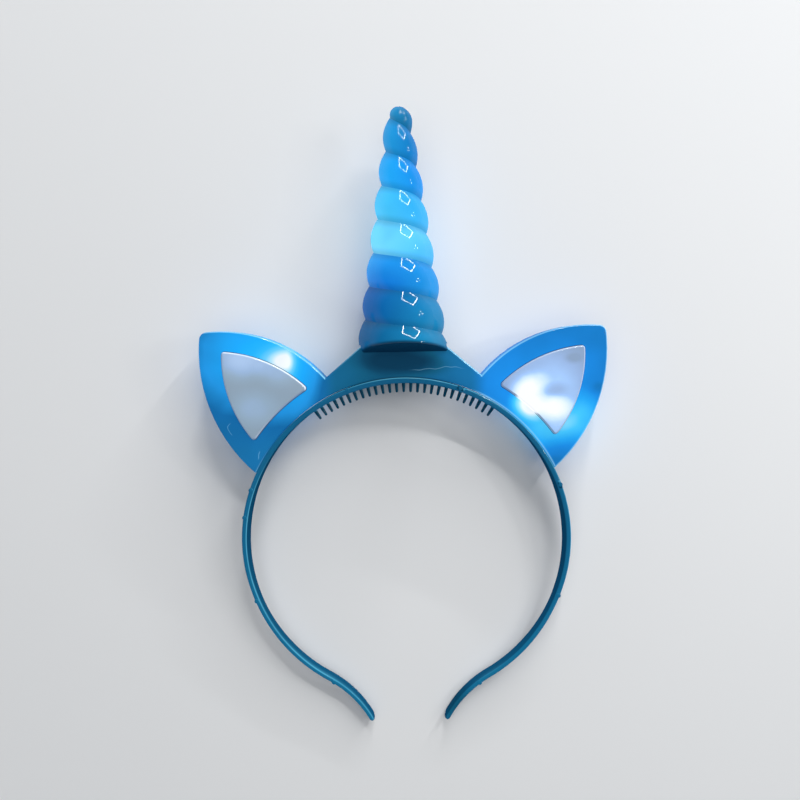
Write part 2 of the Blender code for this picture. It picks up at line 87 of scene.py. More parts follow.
BAND_RADIUS = band_radius()
TILT = resting_tilt()
CENTRE = band_centre()
REST = Matrix.Translation(CENTRE) @ Matrix.Rotation(TILT, 4, "X")
WORN = REST.inverted()


# Sizes and colours that a user would change

def length(name, description, default):
    """A property in metres."""
    return bpy.props.FloatProperty(
        name=name, description=description, default=default, subtype="DISTANCE", unit="LENGTH",
        precision=5)


def turn(name, description, degrees):
    """A property in degrees."""
    return bpy.props.FloatProperty(
        name=name, description=description, default=math.radians(degrees), subtype="ANGLE",
        unit="ROTATION")


def count(name, description, default):
    """A whole number."""
    return bpy.props.IntProperty(name=name, description=description, default=default, min=1)


def amount(name, description, default):
    """A plain number."""
    return bpy.props.FloatProperty(name=name, description=description, default=default)


def colour(name, description, default):
    """A colour in linear light."""
    return bpy.props.FloatVectorProperty(
        name=name, description=description, default=default, subtype="COLOR", size=3, min=0.0,
        soft_max=1.0)


def group(name, description, kind):
    """A group of settings."""
    return bpy.props.PointerProperty(name=name, description=description, type=kind)


class HeadbandBandSizes(bpy.types.PropertyGroup):
    """Sizes of the springy band and its comb."""
    thickness: length("Thickness", "Thickness of the band at its top", 2.2 * MM)
    end_thickness: length("End thickness", "Thickness of the band at its ends", 1.7 * MM)
    depth: length("Depth", "Depth of the band at its top", 12.4 * MM)
    end_depth: length("End depth", "Depth of the band at its ends", 6.4 * MM)
    edge: length("Edge radius", "Rounding of the band's edges", 0.6 * MM)
    arc: turn("Arc", "Angle from the top to where the ends flare out", 150)
    taper_start: turn("Taper start", "Angle from the top where the band starts to narrow", 68)
    taper_end: turn("Taper end", "Angle from the top where the band is as narrow as its ends", 120)
    flare_radius: length("Flare radius", "Radius of the ends that curl outwards", 45 * MM)
    flare_turn: turn("Flare turn", "How far the ends curl outwards", 30.5)
    tooth_count: count("Comb teeth", "Number of comb teeth", 27)
    comb_angle: turn("Comb angle", "Angle of the last tooth from the top", 34)
    tooth_length: length("Tooth length", "How far the teeth stand in from the band", 4.0 * MM)
    tooth_root: length("Tooth root radius", "Radius of a tooth at the band", 0.8 * MM)
    tooth_tip: length("Tooth tip radius", "Radius of a tooth at its tip", 0.5 * MM)
    comb_shift: length("Comb shift", "Place of the comb in front of the middle", -1.0 * MM)
    mark_radius: length("Mark radius", "Radius of the ejector marks", 0.9 * MM)
    mark_inset: length("Mark inset", "Middle of a mark inside the outer face", 0.6 * MM)
    mark_proud: length("Mark height", "How far a mark stands proud of the front edge", 0.15 * MM)


class HeadbandHousingSizes(bpy.types.PropertyGroup):
    """Sizes of the mount and the ears."""
    depth: length("Depth", "Depth of both shells together", 10.6 * MM)
    wall: length("Wall", "Wall thickness", 1.8 * MM)
    edge: length("Edge radius", "Rounding of the outer edges", 0.8 * MM)
    clearance: length("Clearance", "Gap between mating pieces", 0.3 * MM)
    mount_height: length("Mount height", "Height of the mount over the band", 13.0 * MM)
    shoulder: length("Shoulder", "Half the width of the mount's top", 16.5 * MM)
    notch_height: length("Notch height", "Height of the notch by the ear", 7.3 * MM)
    notch_angle: turn("Notch angle", "Angle of the notch from the top", 25)
    ear_height: length("Ear height", "Height of the ear's tip over the band", 51.4 * MM)
    ear_angle: turn("Ear angle", "Angle of the ear's tip from the top", 43.2)
    tip_radius: length("Tip radius", "Rounding of the ear's tip", 3.0 * MM)
    top_rise: length("Top bulge", "Bulge of the ear's top edge", 6.8 * MM)
    outer_rise: length("Outer bulge", "Bulge of the ear's outer edge", 7.6 * MM)
    foot_angle: turn("Foot angle", "Angle of the ear's foot from the top", 64)
    window_offset: length("Window offset", "Height of the window over the band", 7.0 * MM)
    window_inner: turn("Window inner angle", "Angle of the window's inner corner", 31.2)
    window_outer: turn("Window outer angle", "Angle of the window's outer corner", 55)
    window_tip_height: length("Window tip height", "Height of the window's tip", 40.0 * MM)
    window_tip_angle: turn("Window tip angle", "Angle of the window's tip", 42.7)
    window_top_rise: length("Window top bulge", "Bulge of the window's top edge", 3.4 * MM)
    window_outer_rise: length("Window outer bulge", "Bulge of the window's outer edge", 3.7 * MM)
    window_corner: length("Window corner", "Rounding of the window's corners", 1.2 * MM)
    window_proud: length("Window height", "How far the window stands proud", 0.9 * MM)
    window_edge: length("Window edge", "Rounding of the window's edge", 0.8 * MM)
    flange: length("Flange", "Width of the flange behind the wall", 1.0 * MM)
    flange_thickness: length("Flange thickness", "Thickness of the flange", 1.0 * MM)
    cover_width: length("Cover width", "Width of the battery cover", 26.0 * MM)
    cover_height: length("Cover height", "Height of the battery cover", 7.0 * MM)
    cover_thickness: length("Cover thickness", "Thickness of the battery cover", 0.8 * MM)
    cover_corner: length("Cover corner", "Rounding of the cover's corners", 1.2 * MM)
    cover_ledge: length("Cover ledge", "Ledge that the cover lies on", 1.2 * MM)


class HeadbandHornSizes(bpy.types.PropertyGroup):
    """Sizes of the spiral horn."""
    lap: length("Lap", "How far the horn reaches down over the mount", 2.8 * MM)
    height: length("Height", "Height of the horn", 97.2 * MM)
    base_radius: length("Base radius", "Radius over the lowest coil", 18.75 * MM)
    tip_radius: length("Tip radius", "Radius over the highest coil", 4.75 * MM)
    dome: length("Dome", "Height of the rounded tip", 5.5 * MM)
    wall: length("Wall", "Wall thickness behind a groove", 1.6 * MM)
    floor: length("Floor", "Thickness of the horn's floor", 2.0 * MM)
    pitch: length("Pitch", "Height of one coil", 13.27 * MM)
    groove: length("Groove depth", "Depth of the groove between coils", 1.9 * MM)
    start: length("Coil start", "Height of the lowest groove over the base at the left", 0.3 * MM)
    underside: turn("Underside slope", "How steeply the underside rises outwards", 16)
    rim: length("Rim radius", "Rounding of the bottom rim", 1.0 * MM)
    cavity_top: length("Cavity top", "Radius of the hollow at its top", 2.5 * MM)
    post_radius: length("Post radius", "Radius of the post inside", 5.0 * MM)
    steps: count("Steps", "Steps in one turn of the coil", 96)


class HeadbandColours(bpy.types.PropertyGroup):
    """Colours of the plastics and the floor, in linear light."""
    blue: colour("Blue", "Glossy blue plastic of the housing", (0.004, 0.055, 0.115))
    band_blue: colour("Band blue", "Blue plastic of the band", (0.004, 0.06, 0.11))
    horn_blue: colour("Horn blue", "Soft blue vinyl of the horn", (0.004, 0.05, 0.12))
    milky: colour("Milky white", "Milky plastic of the windows", (0.18, 0.21, 0.27))
    lamp: colour("Lamp", "Clear resin of the lamps", (0.8, 0.9, 1.0))
    floor: colour("Floor", "Pale floor", (0.8, 0.81, 0.82))


class HeadbandStage(bpy.types.PropertyGroup):
    """The place of the camera."""
    distance: length("Camera height", "Height of the camera over the floor", 328.63 * MM)
    across: length("Camera across", "How far the camera is to the left", -1.58 * MM)
    along: length("Camera along", "How far the camera is towards the horn", 2.74 * MM)
    nod: turn("Camera nod", "Turn of the camera towards the horn", 1.053)
    roll: turn("Camera roll", "Turn of the camera about its own axis", -1.1)
    lens: amount("Lens", "Focal length on a 36 mm sensor, in millimetres", 34.65)


class HeadbandSettings(bpy.types.PropertyGroup):
    """All the headband's settings."""
    band: group("Band", "Sizes of the band", HeadbandBandSizes)
    housing: group("Housing", "Sizes of the mount and the ears", HeadbandHousingSizes)
    horn: group("Horn", "Sizes of the horn", HeadbandHornSizes)
    colours: group("Colours", "Colours of the pieces", HeadbandColours)
    stage: group("Stage", "The place of the camera", HeadbandStage)


def settings():
    """The scene's headband settings."""
    return bpy.context.scene.headband


# Outlines in the worn frame, X right, Y up and Z towards the viewer, from the band's centre

def polar(radius, angle):
    """A point at a radius and an angle from the top, clockwise as the viewer sees it."""
    return Vector((radius * math.sin(angle), radius * math.cos(angle)))


def above_band(height, angle):
    """A point at a height over the band's outer face and an angle from the top."""
    return polar(BAND_RADIUS + height, angle)


def arc(start, end, rise, steps):
    """Points on the arc from start to end that bulges by rise to the left, without its end."""
    chord = end - start
    half = chord.length / 2
    radius = (half * half + rise * rise) / (2 * rise)
    left = Vector((-chord.y, chord.x)).normalized()
    centre = (start + end) / 2 + left * (rise - radius)
    sweep = 2 * math.asin(half / radius)
    arm = start - centre
    return [centre + Matrix.Rotation(-sweep * i / steps, 2) @ arm for i in range(steps)]


def mirrored(points):
    """The same outline on the other side, run the other way."""
    return [Vector((-p.x, p.y)) for p in reversed(points)]


def grown(points, distance):
    """The outline moved out by a distance, for an outline that runs counter-clockwise."""
    result = []
    for before, here, after in zip(points[-1:] + points[:-1], points, points[1:] + points[:1]):
        first = (here - before).normalized()
        second = (after - here).normalized()
        out_first = Vector((first.y, -first.x))
        out_second = Vector((second.y, -second.x))
        middle = (out_first + out_second).normalized()
        result.append(here + middle * distance / middle.dot(out_first))
    return result


# The largest share of a side that a rounded corner takes up
CORNER_ROOM = 0.9


def rounded(points, corner, radius, steps):
    """The outline with the vertex nearest to a corner replaced by an arc of a given radius."""
    index = min(range(len(points)), key=lambda i: (points[i] - corner).length)
    here = points[index]
    before = (points[index - 1] - here).normalized()
    after = (points[(index + 1) % len(points)] - here).normalized()
    half = before.angle(after) / 2
    room = min((points[i % len(points)] - here).length for i in (index - 1, index + 1))
    reach = min(radius / math.tan(half), CORNER_ROOM * room)
    start = here + before * reach
    end = here + after * reach
    rise = reach * math.tan(half) * (1 - math.sin(half))
    curve = [start] + list(reversed(arc(end, start, rise, steps)))
    return points[:index] + curve + points[index + 1:]


EAR_STEPS = 14
EAR_TIP_STEPS = 8
SEAT_STEPS = 64
WINDOW_STEPS = 12
WINDOW_CORNER_STEPS = 5
COVER_CORNER_STEPS = 4


def housing_outline():
    """Both ears and the mount, counter-clockwise from the right foot."""
    h = settings().housing
    foot = above_band(h.clearance, h.foot_angle)
    tip = above_band(h.ear_height, h.ear_angle)
    notch = above_band(h.notch_height, h.notch_angle)
    shoulder = Vector((h.shoulder, BAND_RADIUS + h.mount_height))
    outer = list(reversed(arc(tip, foot, h.outer_rise, EAR_STEPS)))
    top = list(reversed(arc(notch, tip, h.top_rise, EAR_STEPS)))
    right = [foot] + outer + top + [shoulder]
    turns = [h.foot_angle * (2 * i / SEAT_STEPS - 1) for i in range(1, SEAT_STEPS)]
    seat = [above_band(h.clearance, angle) for angle in turns]
    outline = right + mirrored(right) + seat
    outline = rounded(outline, tip, h.tip_radius, EAR_TIP_STEPS)
    return rounded(outline, Vector((-tip.x, tip.y)), h.tip_radius, EAR_TIP_STEPS)


def window_outline():
    """The right ear's window, counter-clockwise from its inner corner."""
    h = settings().housing
    inner = above_band(h.window_offset, h.window_inner)
    outer = above_band(h.window_offset, h.window_outer)
    tip = above_band(h.window_tip_height, h.window_tip_angle)
    step = (h.window_outer - h.window_inner) / WINDOW_STEPS
    base = [above_band(h.window_offset, h.window_inner + step * i) for i in range(WINDOW_STEPS)]
    side = [outer] + list(reversed(arc(tip, outer, h.window_outer_rise, WINDOW_STEPS)))
    top = list(reversed(arc(inner, tip, h.window_top_rise, WINDOW_STEPS)))[:-1]
    outline = base + side + top
    for corner in (inner, outer, tip):
        outline = rounded(outline, corner, h.window_corner, WINDOW_CORNER_STEPS)
    return outline


def cover_outline(margin, corner):
    """The battery cover's rounded outline, wider by a margin all round."""
    h = settings().housing
    middle = Vector((0, BAND_RADIUS + h.mount_height / 2))
    x = h.cover_width / 2 + margin
    y = h.cover_height / 2 + margin
    corners = [middle + Vector(p) for p in ((-x, -y), (x, -y), (x, y), (-x, y))]
    outline = corners
    for point in corners:
        outline = rounded(outline, point, corner, COVER_CORNER_STEPS)
    return outline


# Shared mesh work

def prism(bm, outline, back, front):
    """Adds a closed prism and returns its two flat faces, the back one first."""
    base = bm.faces.new([bm.verts.new((p.x, p.y, back)) for p in outline])
    made = bmesh.ops.extrude_face_region(bm, geom=[base], use_keep_orig=True)
    moved = [v for v in made["geom"] if isinstance(v, bmesh.types.BMVert)]
    cap = [f for f in made["geom"] if isinstance(f, bmesh.types.BMFace)][0]
    bmesh.ops.translate(bm, verts=moved, vec=(0, 0, front - back))
    return base, cap


def bevel_face(bm, face, width, segments):
    """Rounds the edges around a flat face."""
    bmesh.ops.bevel(
        bm, geom=list(face.edges), offset=width, offset_type="OFFSET", affect="EDGES",
        segments=segments, profile=0.5, material=-1, clamp_overlap=True)


def cylinder(bm, radius, low, high, sides, top_radius):
    """Adds a closed round peg that stands along Y."""
    matrix = Matrix.Translation((0, (low + high) / 2, 0)) @ Matrix.Rotation(-math.pi / 2, 4, "X")
    bmesh.ops.create_cone(
        bm, cap_ends=True, segments=sides, radius1=radius, radius2=top_radius, depth=high - low,
        matrix=matrix)


def add_to(bm, other):
    """Copies one bmesh into another and frees it."""
    mesh = bpy.data.meshes.new("part")
    other.to_mesh(mesh)
    other.free()
    bm.from_mesh(mesh)
    bpy.data.meshes.remove(mesh)


def new_object(name, bm):
    """Turns a bmesh into an object, with outward faces."""
    bmesh.ops.recalc_face_normals(bm, faces=bm.faces)
    mesh = bpy.data.meshes.new(name)
    bm.to_mesh(mesh)
    bm.free()
    obj = bpy.data.objects.new(name, mesh)
    bpy.context.collection.objects.link(obj)
    return obj


def cut(obj, bm, operation="DIFFERENCE"):
    """Cuts a bmesh out of an object, or joins it on, and leaves a plain mesh."""
    other = new_object("cutter", bm)
    modifier = obj.modifiers.new("cut", "BOOLEAN")
    modifier.operation = operation
    modifier.solver = "EXACT"
    modifier.object = other
    graph = bpy.context.evaluated_depsgraph_get()
    mesh = bpy.data.meshes.new_from_object(obj.evaluated_get(graph))
    obj.modifiers.clear()
    old = obj.data
    obj.data = mesh
    mesh.name = old.name
    bpy.data.meshes.remove(old)
    cutter = other.data
    bpy.data.objects.remove(other, do_unlink=True)
    bpy.data.meshes.remove(cutter)
    if not mesh.polygons:
        raise RuntimeError("nothing is left of " + obj.name)


def cut_prism(obj, outline, back, front, operation="DIFFERENCE"):
    """Cuts a prism out of an object, or joins it on."""
    bm = bmesh.new()
    prism(bm, outline, back, front)
    cut(obj, bm, operation)


def lay_down(obj, material, node):
    """Lays a worn piece on the floor, gives it its material, and hides the frame's part that it
    replaces.
    """
    mesh = obj.data
    mesh.transform(REST)
    # No point goes below the floor, whatever the rounding of the sums
    for vert in mesh.vertices:
        vert.co.z = max(vert.co.z, 0.0)
    mesh.materials.clear()
    mesh.materials.append(material)
    mesh.shade_smooth()
    mesh.set_sharp_from_angle(angle=SHARP_ANGLE)
    mesh.update()
    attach(obj, "root")
    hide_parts(node)


# Materials

class Nodes:
    """Builds a node material, one node at a time."""

    def __init__(self, name):
        self.material = bpy.data.materials.new(name)
        self.material.use_nodes = True
        self.tree = self.material.node_tree
        self.shader = self.tree.nodes["Principled BSDF"]

    def node(self, kind, inputs=None, **options):
        """Adds a node, sets its properties, and sets or links its inputs."""
        made = self.tree.nodes.new(kind)
        for name, value in options.items():
            setattr(made, name, value)
        for key, value in (inputs or {}).items():
            self.put(made.inputs[key], value)
        return made

    def put(self, socket, value):
        """Links an output to a socket, or sets its value."""
        if isinstance(value, bpy.types.NodeSocket):
            self.tree.links.new(value, socket)
        else:
            socket.default_value = value

    def math(self, operation, first, second=0.0, clamp=False):
        """One operation on two values."""
        made = self.node("ShaderNodeMath", {0: first, 1: second}, operation=operation)
        made.use_clamp = clamp
        return made.outputs[0]

    def plus(self, first, second):
        """The sum of two values."""
        return self.math("ADD", first, second)

    def minus(self, first, second):
        """One value less another."""
        return self.math("SUBTRACT", first, second)

    def times(self, first, *others):
        """A value times all the others."""
        for other in others:
            first = self.math("MULTIPLY", first, other)
        return first

    def axes(self, vector):
        """The X, Y and Z of a vector."""
        return self.node("ShaderNodeSeparateXYZ", {"Vector": vector}).outputs

    def mix(self, factor, first, second):
        """Mixes two colours, on the node's own sockets for colours."""
        made = self.node("ShaderNodeMix", data_type="RGBA")
        self.put(made.inputs["Factor"], factor)
        self.put(made.inputs[6], first)
        self.put(made.inputs[7], second)
        return made.outputs[2]

    def mottled(self, cloud, shade, factor):
        """A colour that a cloud softly turns into a factor of itself."""
        return self.mix(cloud, (*shade, 1), (*[c * factor for c in shade], 1))

    def ramp(self, value, stops):
        """A straight colour ramp through places and the tones there."""
        made = self.node("ShaderNodeValToRGB", {"Fac": value})
        elements = made.color_ramp.elements
        elements.remove(elements[-1])
        elements[0].position = stops[0][0]
        elements[0].color = tone(*stops[0][1])
        for place, shade in stops[1:]:
            elements.new(place).color = tone(*shade)
        return made.outputs["Color"]

    def worn(self):
        """Object coordinates turned back to the worn frame."""
        coordinates = self.node("ShaderNodeTexCoord").outputs["Object"]
        made = self.node("ShaderNodeMapping", {"Vector": coordinates}, vector_type="POINT")
        made.inputs["Rotation"].default_value = WORN.to_euler()
        made.inputs["Location"].default_value = WORN.to_translation()
        return made.outputs["Vector"]

    def noise(self, vector, scale, detail=2.0):
        """Smooth noise over a vector, about 0.5."""
        inputs = {"Vector": vector, "Scale": scale, "Detail": detail}
        return self.node("ShaderNodeTexNoise", inputs).outputs["Fac"]

    def stretched(self, vector, scale, rotation=(0, 0, 0)):
        """A vector scaled unevenly, so that a pattern on it is drawn out."""
        made = self.node("ShaderNodeMapping", {"Vector": vector})
        made.inputs["Scale"].default_value = scale
        made.inputs["Rotation"].default_value = rotation
        return made.outputs["Vector"]

    def between(self, value, low, high, to_low=0.0, to_high=1.0, smooth=True):
        """Maps a value from one range to another."""
        inputs = {
            "Value": value, "From Min": low, "From Max": high, "To Min": to_low, "To Max": to_high}
        kind = "SMOOTHSTEP" if smooth else "LINEAR"
        return self.node("ShaderNodeMapRange", inputs, interpolation_type=kind).outputs["Result"]

    def bump(self, height, distance, normal=None):
        """A bump of a real height, on top of another if one is given."""
        inputs = {"Height": height, "Distance": distance}
        if normal is not None:
            inputs["Normal"] = normal
        return self.node("ShaderNodeBump", inputs).outputs["Normal"]

    def finish(self, **sockets):
        """Sets the shader's sockets, by their names with underscores for spaces."""
        for name, value in sockets.items():
            self.put(self.shader.inputs[name.replace("_", " ")], value)
        return self.material


def tone(red, green, blue):
    """An opaque colour in linear light from the 0 to 255 values that a screen shows."""
    def linear(value):
        share = value / 255
        return share / 12.92 if share <= 0.04045 else ((share + 0.055) / 1.055) ** 2.4
    return linear(red), linear(green), linear(blue), 1.0


SWELL_HEIGHT = 0.03 * MM
GRAIN_HEIGHT = 0.002 * MM
STREAK_HEIGHT = 0.012 * MM
STREAK_STRETCH = (900, 60, 200)
STREAK_TURN = (0.3, 0.2, 0.5)
STREAK_ROUGHNESS = 0.12


def plastic_surface(nodes, place, roughness):
    """Roughness and bump of moulded plastic, softly uneven with a few fine scratches."""
    cloud = nodes.noise(place, 70.0, 3.0)
    uneven = nodes.between(cloud, 0.3, 0.7, roughness * 0.85, roughness * 1.25)
    streaks = nodes.noise(nodes.stretched(place, STREAK_STRETCH, STREAK_TURN), 1.0)
    lines = nodes.between(streaks, 0.66, 0.72)
    roughened = nodes.plus(uneven, nodes.times(lines, STREAK_ROUGHNESS))
    swollen = nodes.bump(cloud, SWELL_HEIGHT)
    grained = nodes.bump(nodes.noise(place, 900.0), GRAIN_HEIGHT, swollen)
    return roughened, nodes.bump(lines, STREAK_HEIGHT, grained)


PLASTIC_IOR = 1.45
COAT_IOR = 2.0


def lit_plastic(nodes, place, roughness, tint, glow, strength, coat, coat_roughness,
                specular=0.0, coat_normal=None):
    """Finishes a plastic that is lit from inside, under a clear coat that mirrors the room."""
    roughened, normal = plastic_surface(nodes, place, roughness)
    return nodes.finish(
        Base_Color=tint, Roughness=roughened, Normal=normal, Emission_Color=glow,
        Emission_Strength=strength, IOR=PLASTIC_IOR, Specular_IOR_Level=specular,
        Coat_Weight=coat, Coat_IOR=COAT_IOR, Coat_Roughness=coat_roughness,
        Coat_Normal=normal if coat_normal is None else coat_normal)


# Shades of light through the horn by height, each seen at its left and at its right edge
HORN_GLOW_LEFT = (
    (0.000, (0, 48, 80)),
    (0.037, (0, 72, 116)),
    (0.150, (0, 76, 136)),
    (0.210, (0, 82, 160)),
    (0.300, (0, 94, 200)),
    (0.370, (44, 172, 246)),
    (0.447, (112, 214, 255)),
    (0.583, (76, 204, 255)),
    (0.720, (36, 174, 253)),
    (0.856, (34, 154, 222)),
    (0.970, (40, 140, 192)),
)
HORN_GLOW_RIGHT = (
    (0.000, (0, 72, 100)),
    (0.037, (24, 132, 176)),
    (0.150, (22, 122, 168)),
    (0.210, (22, 128, 186)),
    (0.300, (30, 148, 228)),
    (0.370, (34, 162, 244)),
    (0.447, (96, 206, 255)),
    (0.583, (46, 176, 246)),
    (0.720, (10, 130, 222)),
    (0.856, (10, 112, 180)),
    (0.970, (16, 104, 150)),
)


# How much of the light's change with height comes in steps, a shade for each coil
COIL_STEP = 0.72


def horn_material():
    """Soft blue vinyl lit from inside, in steps from coil to coil, with painted shade in grooves
    and underneath.
    """
    horn = settings().horn
    nodes = Nodes("soft_blue_vinyl")
    place = nodes.worn()
    x, y, z = nodes.axes(place)
    height = nodes.minus(y, horn_base())
    angle = nodes.math("ARCTAN2", z, nodes.times(x, -1.0))
    turns = nodes.math("FRACT", nodes.plus(nodes.math("DIVIDE", angle, 2 * math.pi), 1.0))
    wound = nodes.plus(nodes.math("DIVIDE", nodes.minus(height, horn.start), horn.pitch), turns)
    phase = nodes.math("FRACT", nodes.plus(wound, 1.0))
    from_crest = nodes.minus(phase, 0.5)
    crest = nodes.minus(height, nodes.times(from_crest, horn.pitch))
    stepped = nodes.plus(nodes.times(crest, COIL_STEP), nodes.times(height, 1 - COIL_STEP))
    share = nodes.math("DIVIDE", stepped, horn.height)
    radius = nodes.between(height, 0, horn.height, horn.base_radius, horn.tip_radius, smooth=False)
    aside = nodes.between(nodes.math("DIVIDE", x, radius), -0.9, 0.9)
    glow = nodes.mix(aside, nodes.ramp(share, HORN_GLOW_LEFT), nodes.ramp(share, HORN_GLOW_RIGHT))
    cloud = nodes.between(nodes.noise(place, 55.0), 0.25, 0.75, 0.9, 1.08)
    # Painted shade: the glow dims in the grooves between the coils
    groove = nodes.between(nodes.math("ABSOLUTE", from_crest), 0.26, 0.5, 1.0, 0.72)
    # Painted shade: the glow fades out on the horn's underside, which is left dark
    outwards = nodes.minus(nodes.math("ABSOLUTE", z), slot_half())
    rise = nodes.times(outwards, math.tan(horn.underside))
    under = nodes.between(nodes.minus(height, rise), 0.1 * MM, 1.8 * MM)
    return lit_plastic(
        nodes, place, roughness=0.3,
        tint=nodes.mottled(nodes.noise(place, 30.0), settings().colours.horn_blue, 1.2),
        glow=glow, strength=nodes.times(cloud, groove, under), coat=0.25, coat_roughness=0.01,
        coat_normal=nodes.bump(nodes.noise(place, 260.0, 1.0), 0.003 * MM))


# The left ear's bright spot, and shades out from it to the reach of its light
LEFT_SPOT = Vector((-46.8, 74.5)) * MM
GLOW_REACH = 41 * MM
LEFT_EAR_GLOW = (
    (0.00, (255, 255, 255)),
    (0.06, (250, 254, 255)),
    (0.09, (190, 236, 255)),
    (0.125, (112, 208, 255)),
    (0.17, (56, 190, 255)),
    (0.22, (34, 176, 252)),
    (0.28, (26, 166, 248)),
    (0.49, (32, 140, 216)),
    (0.56, (24, 116, 182)),
    (0.64, (14, 88, 148)),
    (0.90, (20, 94, 146)),
)
PLATE_GLOW = (
    (0.00, (6, 30, 50)),
    (0.30, (10, 52, 76)),
    (0.50, (14, 72, 98)),
    (1.00, (24, 104, 162)),
)
# Each lobe of light has its middle's X and Y, half its width and half its height, all in
# millimetres in the worn frame, and its strength
PLATE_LOBES = (
    (30.0, 68.0, 44.0, 24.0, 0.5),
    (-30.0, 68.0, 30.0, 20.0, 0.25),
    # The last two lobes take light away: painted shade and a painted dark reflection of the horn's
    # underside on the mount
    (-3.0, 74.0, 20.0, 7.0, -0.6),
    (8.0, 71.5, 15.0, 5.5, -0.35),
)
PLATE_LEVEL = 0.33
RIGHT_RIM_LOBES = (
    (56.0, 58.0, 36.0, 36.0, 0.32),
    (50.0, 55.5, 10.0, 9.0, 0.80),
    (57.0, 46.0, 16.0, 13.0, 0.42),
    (72.0, 49.0, 15.0, 16.0, 0.44),
    (78.0, 61.5, 5.0, 3.5, -0.14),
    (60.0, 31.0, 8.0, 5.0, -0.12),
)
RIGHT_RIM_GLOW = (
    (0.00, (20, 110, 186)),
    (0.10, (24, 122, 208)),
    (0.25, (26, 136, 228)),
    (0.45, (38, 168, 248)),
    (0.65, (72, 200, 255)),
    (0.85, (160, 232, 255)),
    (1.00, (250, 254, 255)),
)
RIGHT_WINDOW_LOBES = (
    (57.0, 58.0, 26.0, 26.0, 0.50),
    (49.0, 58.5, 9.0, 11.0, 0.70),
    (58.5, 54.0, 14.0, 6.5, 0.55),
    (53.0, 64.5, 8.0, 6.0, 0.26),
    (60.5, 61.0, 7.5, 4.4, -0.26),
    (61.0, 47.5, 8.0, 9.0, 0.16),
    (67.6, 73.5, 5.0, 3.0, -0.14),
)
RIGHT_WINDOW_GLOW = (
    (0.00, (92, 124, 160)),
    (0.20, (120, 158, 210)),
    (0.42, (142, 190, 246)),
    (0.58, (194, 226, 255)),
    (0.80, (232, 246, 255)),
    (1.00, (255, 255, 255)),
)
LEFT_WINDOW_LOBES = (
    (-64.0, 76.0, 17.0, 12.0, 0.80),
    (-50.0, 71.0, 12.0, 9.0, 0.45),
    (-60.0, 56.0, 14.0, 10.0, 0.40),
)
LEFT_WINDOW_GLOW = (
    (0.00, (104, 128, 142)),
    (0.25, (112, 142, 162)),
    (0.55, (124, 160, 200)),
    (1.00, (158, 190, 230)),
)
# Shades of the band's glow from its bottom to its top, on its front face, and darker on its walls
# as a painted shade
BAND_FRONT_GLOW = (
    (0.0, (16, 96, 128)),
    (0.5, (12, 80, 114)),
    (1.0, (10, 62, 96)),
)
BAND_SHADED_WALL_GLOW = (
    (0.0, (4, 46, 84)),
    (0.5, (3, 34, 66)),
    (1.0, (2, 18, 40)),
)
# The right end of the band is darker
RIGHT_END_LOBES = (
    (19.0, -69.0, 10.0, 14.0, -0.65),
)
# The side that the room's light falls on, to the viewer's right and up
LIT_SIDE = Vector((0.7, 0.7, 0))
# Across the middle, the light of one part passes into the next between these distances
MOUNT_EDGE = (26 * MM, 34 * MM)


# A lobe's depth, so large that only its outline from the front counts
ANY_DEPTH = 1000


def lobes_of_light(nodes, place, lobes):
    """The sum of soft round lobes, seen from the front."""
    total = 0.0
    for x, y, wide, high, strength in lobes:
        centred = nodes.node("ShaderNodeMapping", {"Vector": place}, vector_type="TEXTURE")
        centred.inputs["Location"].default_value = (x * MM, y * MM, 0)
        centred.inputs["Scale"].default_value = (wide * MM, high * MM, ANY_DEPTH)
        away = nodes.node("ShaderNodeVectorMath", {0: centred.outputs[0]}, operation="LENGTH")
        lobe = nodes.between(away.outputs["Value"], 0.1, 1.0, strength, 0.0)
        total = nodes.plus(total, lobe)
    return total


def flat_distance(nodes, x, y, spot, towards_left=1.0, towards_right=1.0):
    """How far a place is from a spot as the viewer sees it, longer or shorter to each side."""
    aside = nodes.minus(x, spot.x)
    longer = nodes.math(
        "MAXIMUM", nodes.times(aside, -towards_left), nodes.times(aside, towards_right))
    flat = nodes.node("ShaderNodeCombineXYZ", {"X": longer, "Y": nodes.minus(y, spot.y)})
    away = nodes.node("ShaderNodeVectorMath", {0: flat.outputs[0]}, operation="LENGTH")
    return away.outputs["Value"]


def rounded_edges(nodes, from_side, to_side):
    """How far a face looks up, where it is a rounded front edge, and where that edge is lit."""
    normal = nodes.node("ShaderNodeTexCoord").outputs["Normal"]
    facing = nodes.axes(normal)[2]
    side = nodes.node("ShaderNodeVectorMath", {0: normal, 1: LIT_SIDE}, operation="DOT_PRODUCT")
    edge = nodes.times(nodes.between(facing, 0.98, 0.86), nodes.between(facing, 0.05, 0.3))
    return facing, edge, nodes.between(side.outputs["Value"], from_side, to_side)


HAIR_SCALE = 110.0
HAIR_LOBES = (
    (-70.5, 47.5, 4.5, 4.0, 1.0),
    (-61.0, 37.0, 5.0, 3.5, 1.0),
)
LONG_SCRATCH = (13.5, 70.3, 13.0, 4.0, 1.0)
LONG_SCRATCH_WAVE = (85, 0, 0)
LONG_SCRATCH_SWING = 1.6 * MM


def hair_lines(nodes, place):
    """Thin wavy scratches low on the left ear."""
    wave = nodes.math("ABSOLUTE", nodes.minus(nodes.noise(place, HAIR_SCALE, 1.0), 0.5))
    line = nodes.between(wave, 0.002, 0.014, 1.0, 0.0)
    where = nodes.between(lobes_of_light(nodes, place, HAIR_LOBES), 0.2, 0.6)
    return nodes.times(line, where)


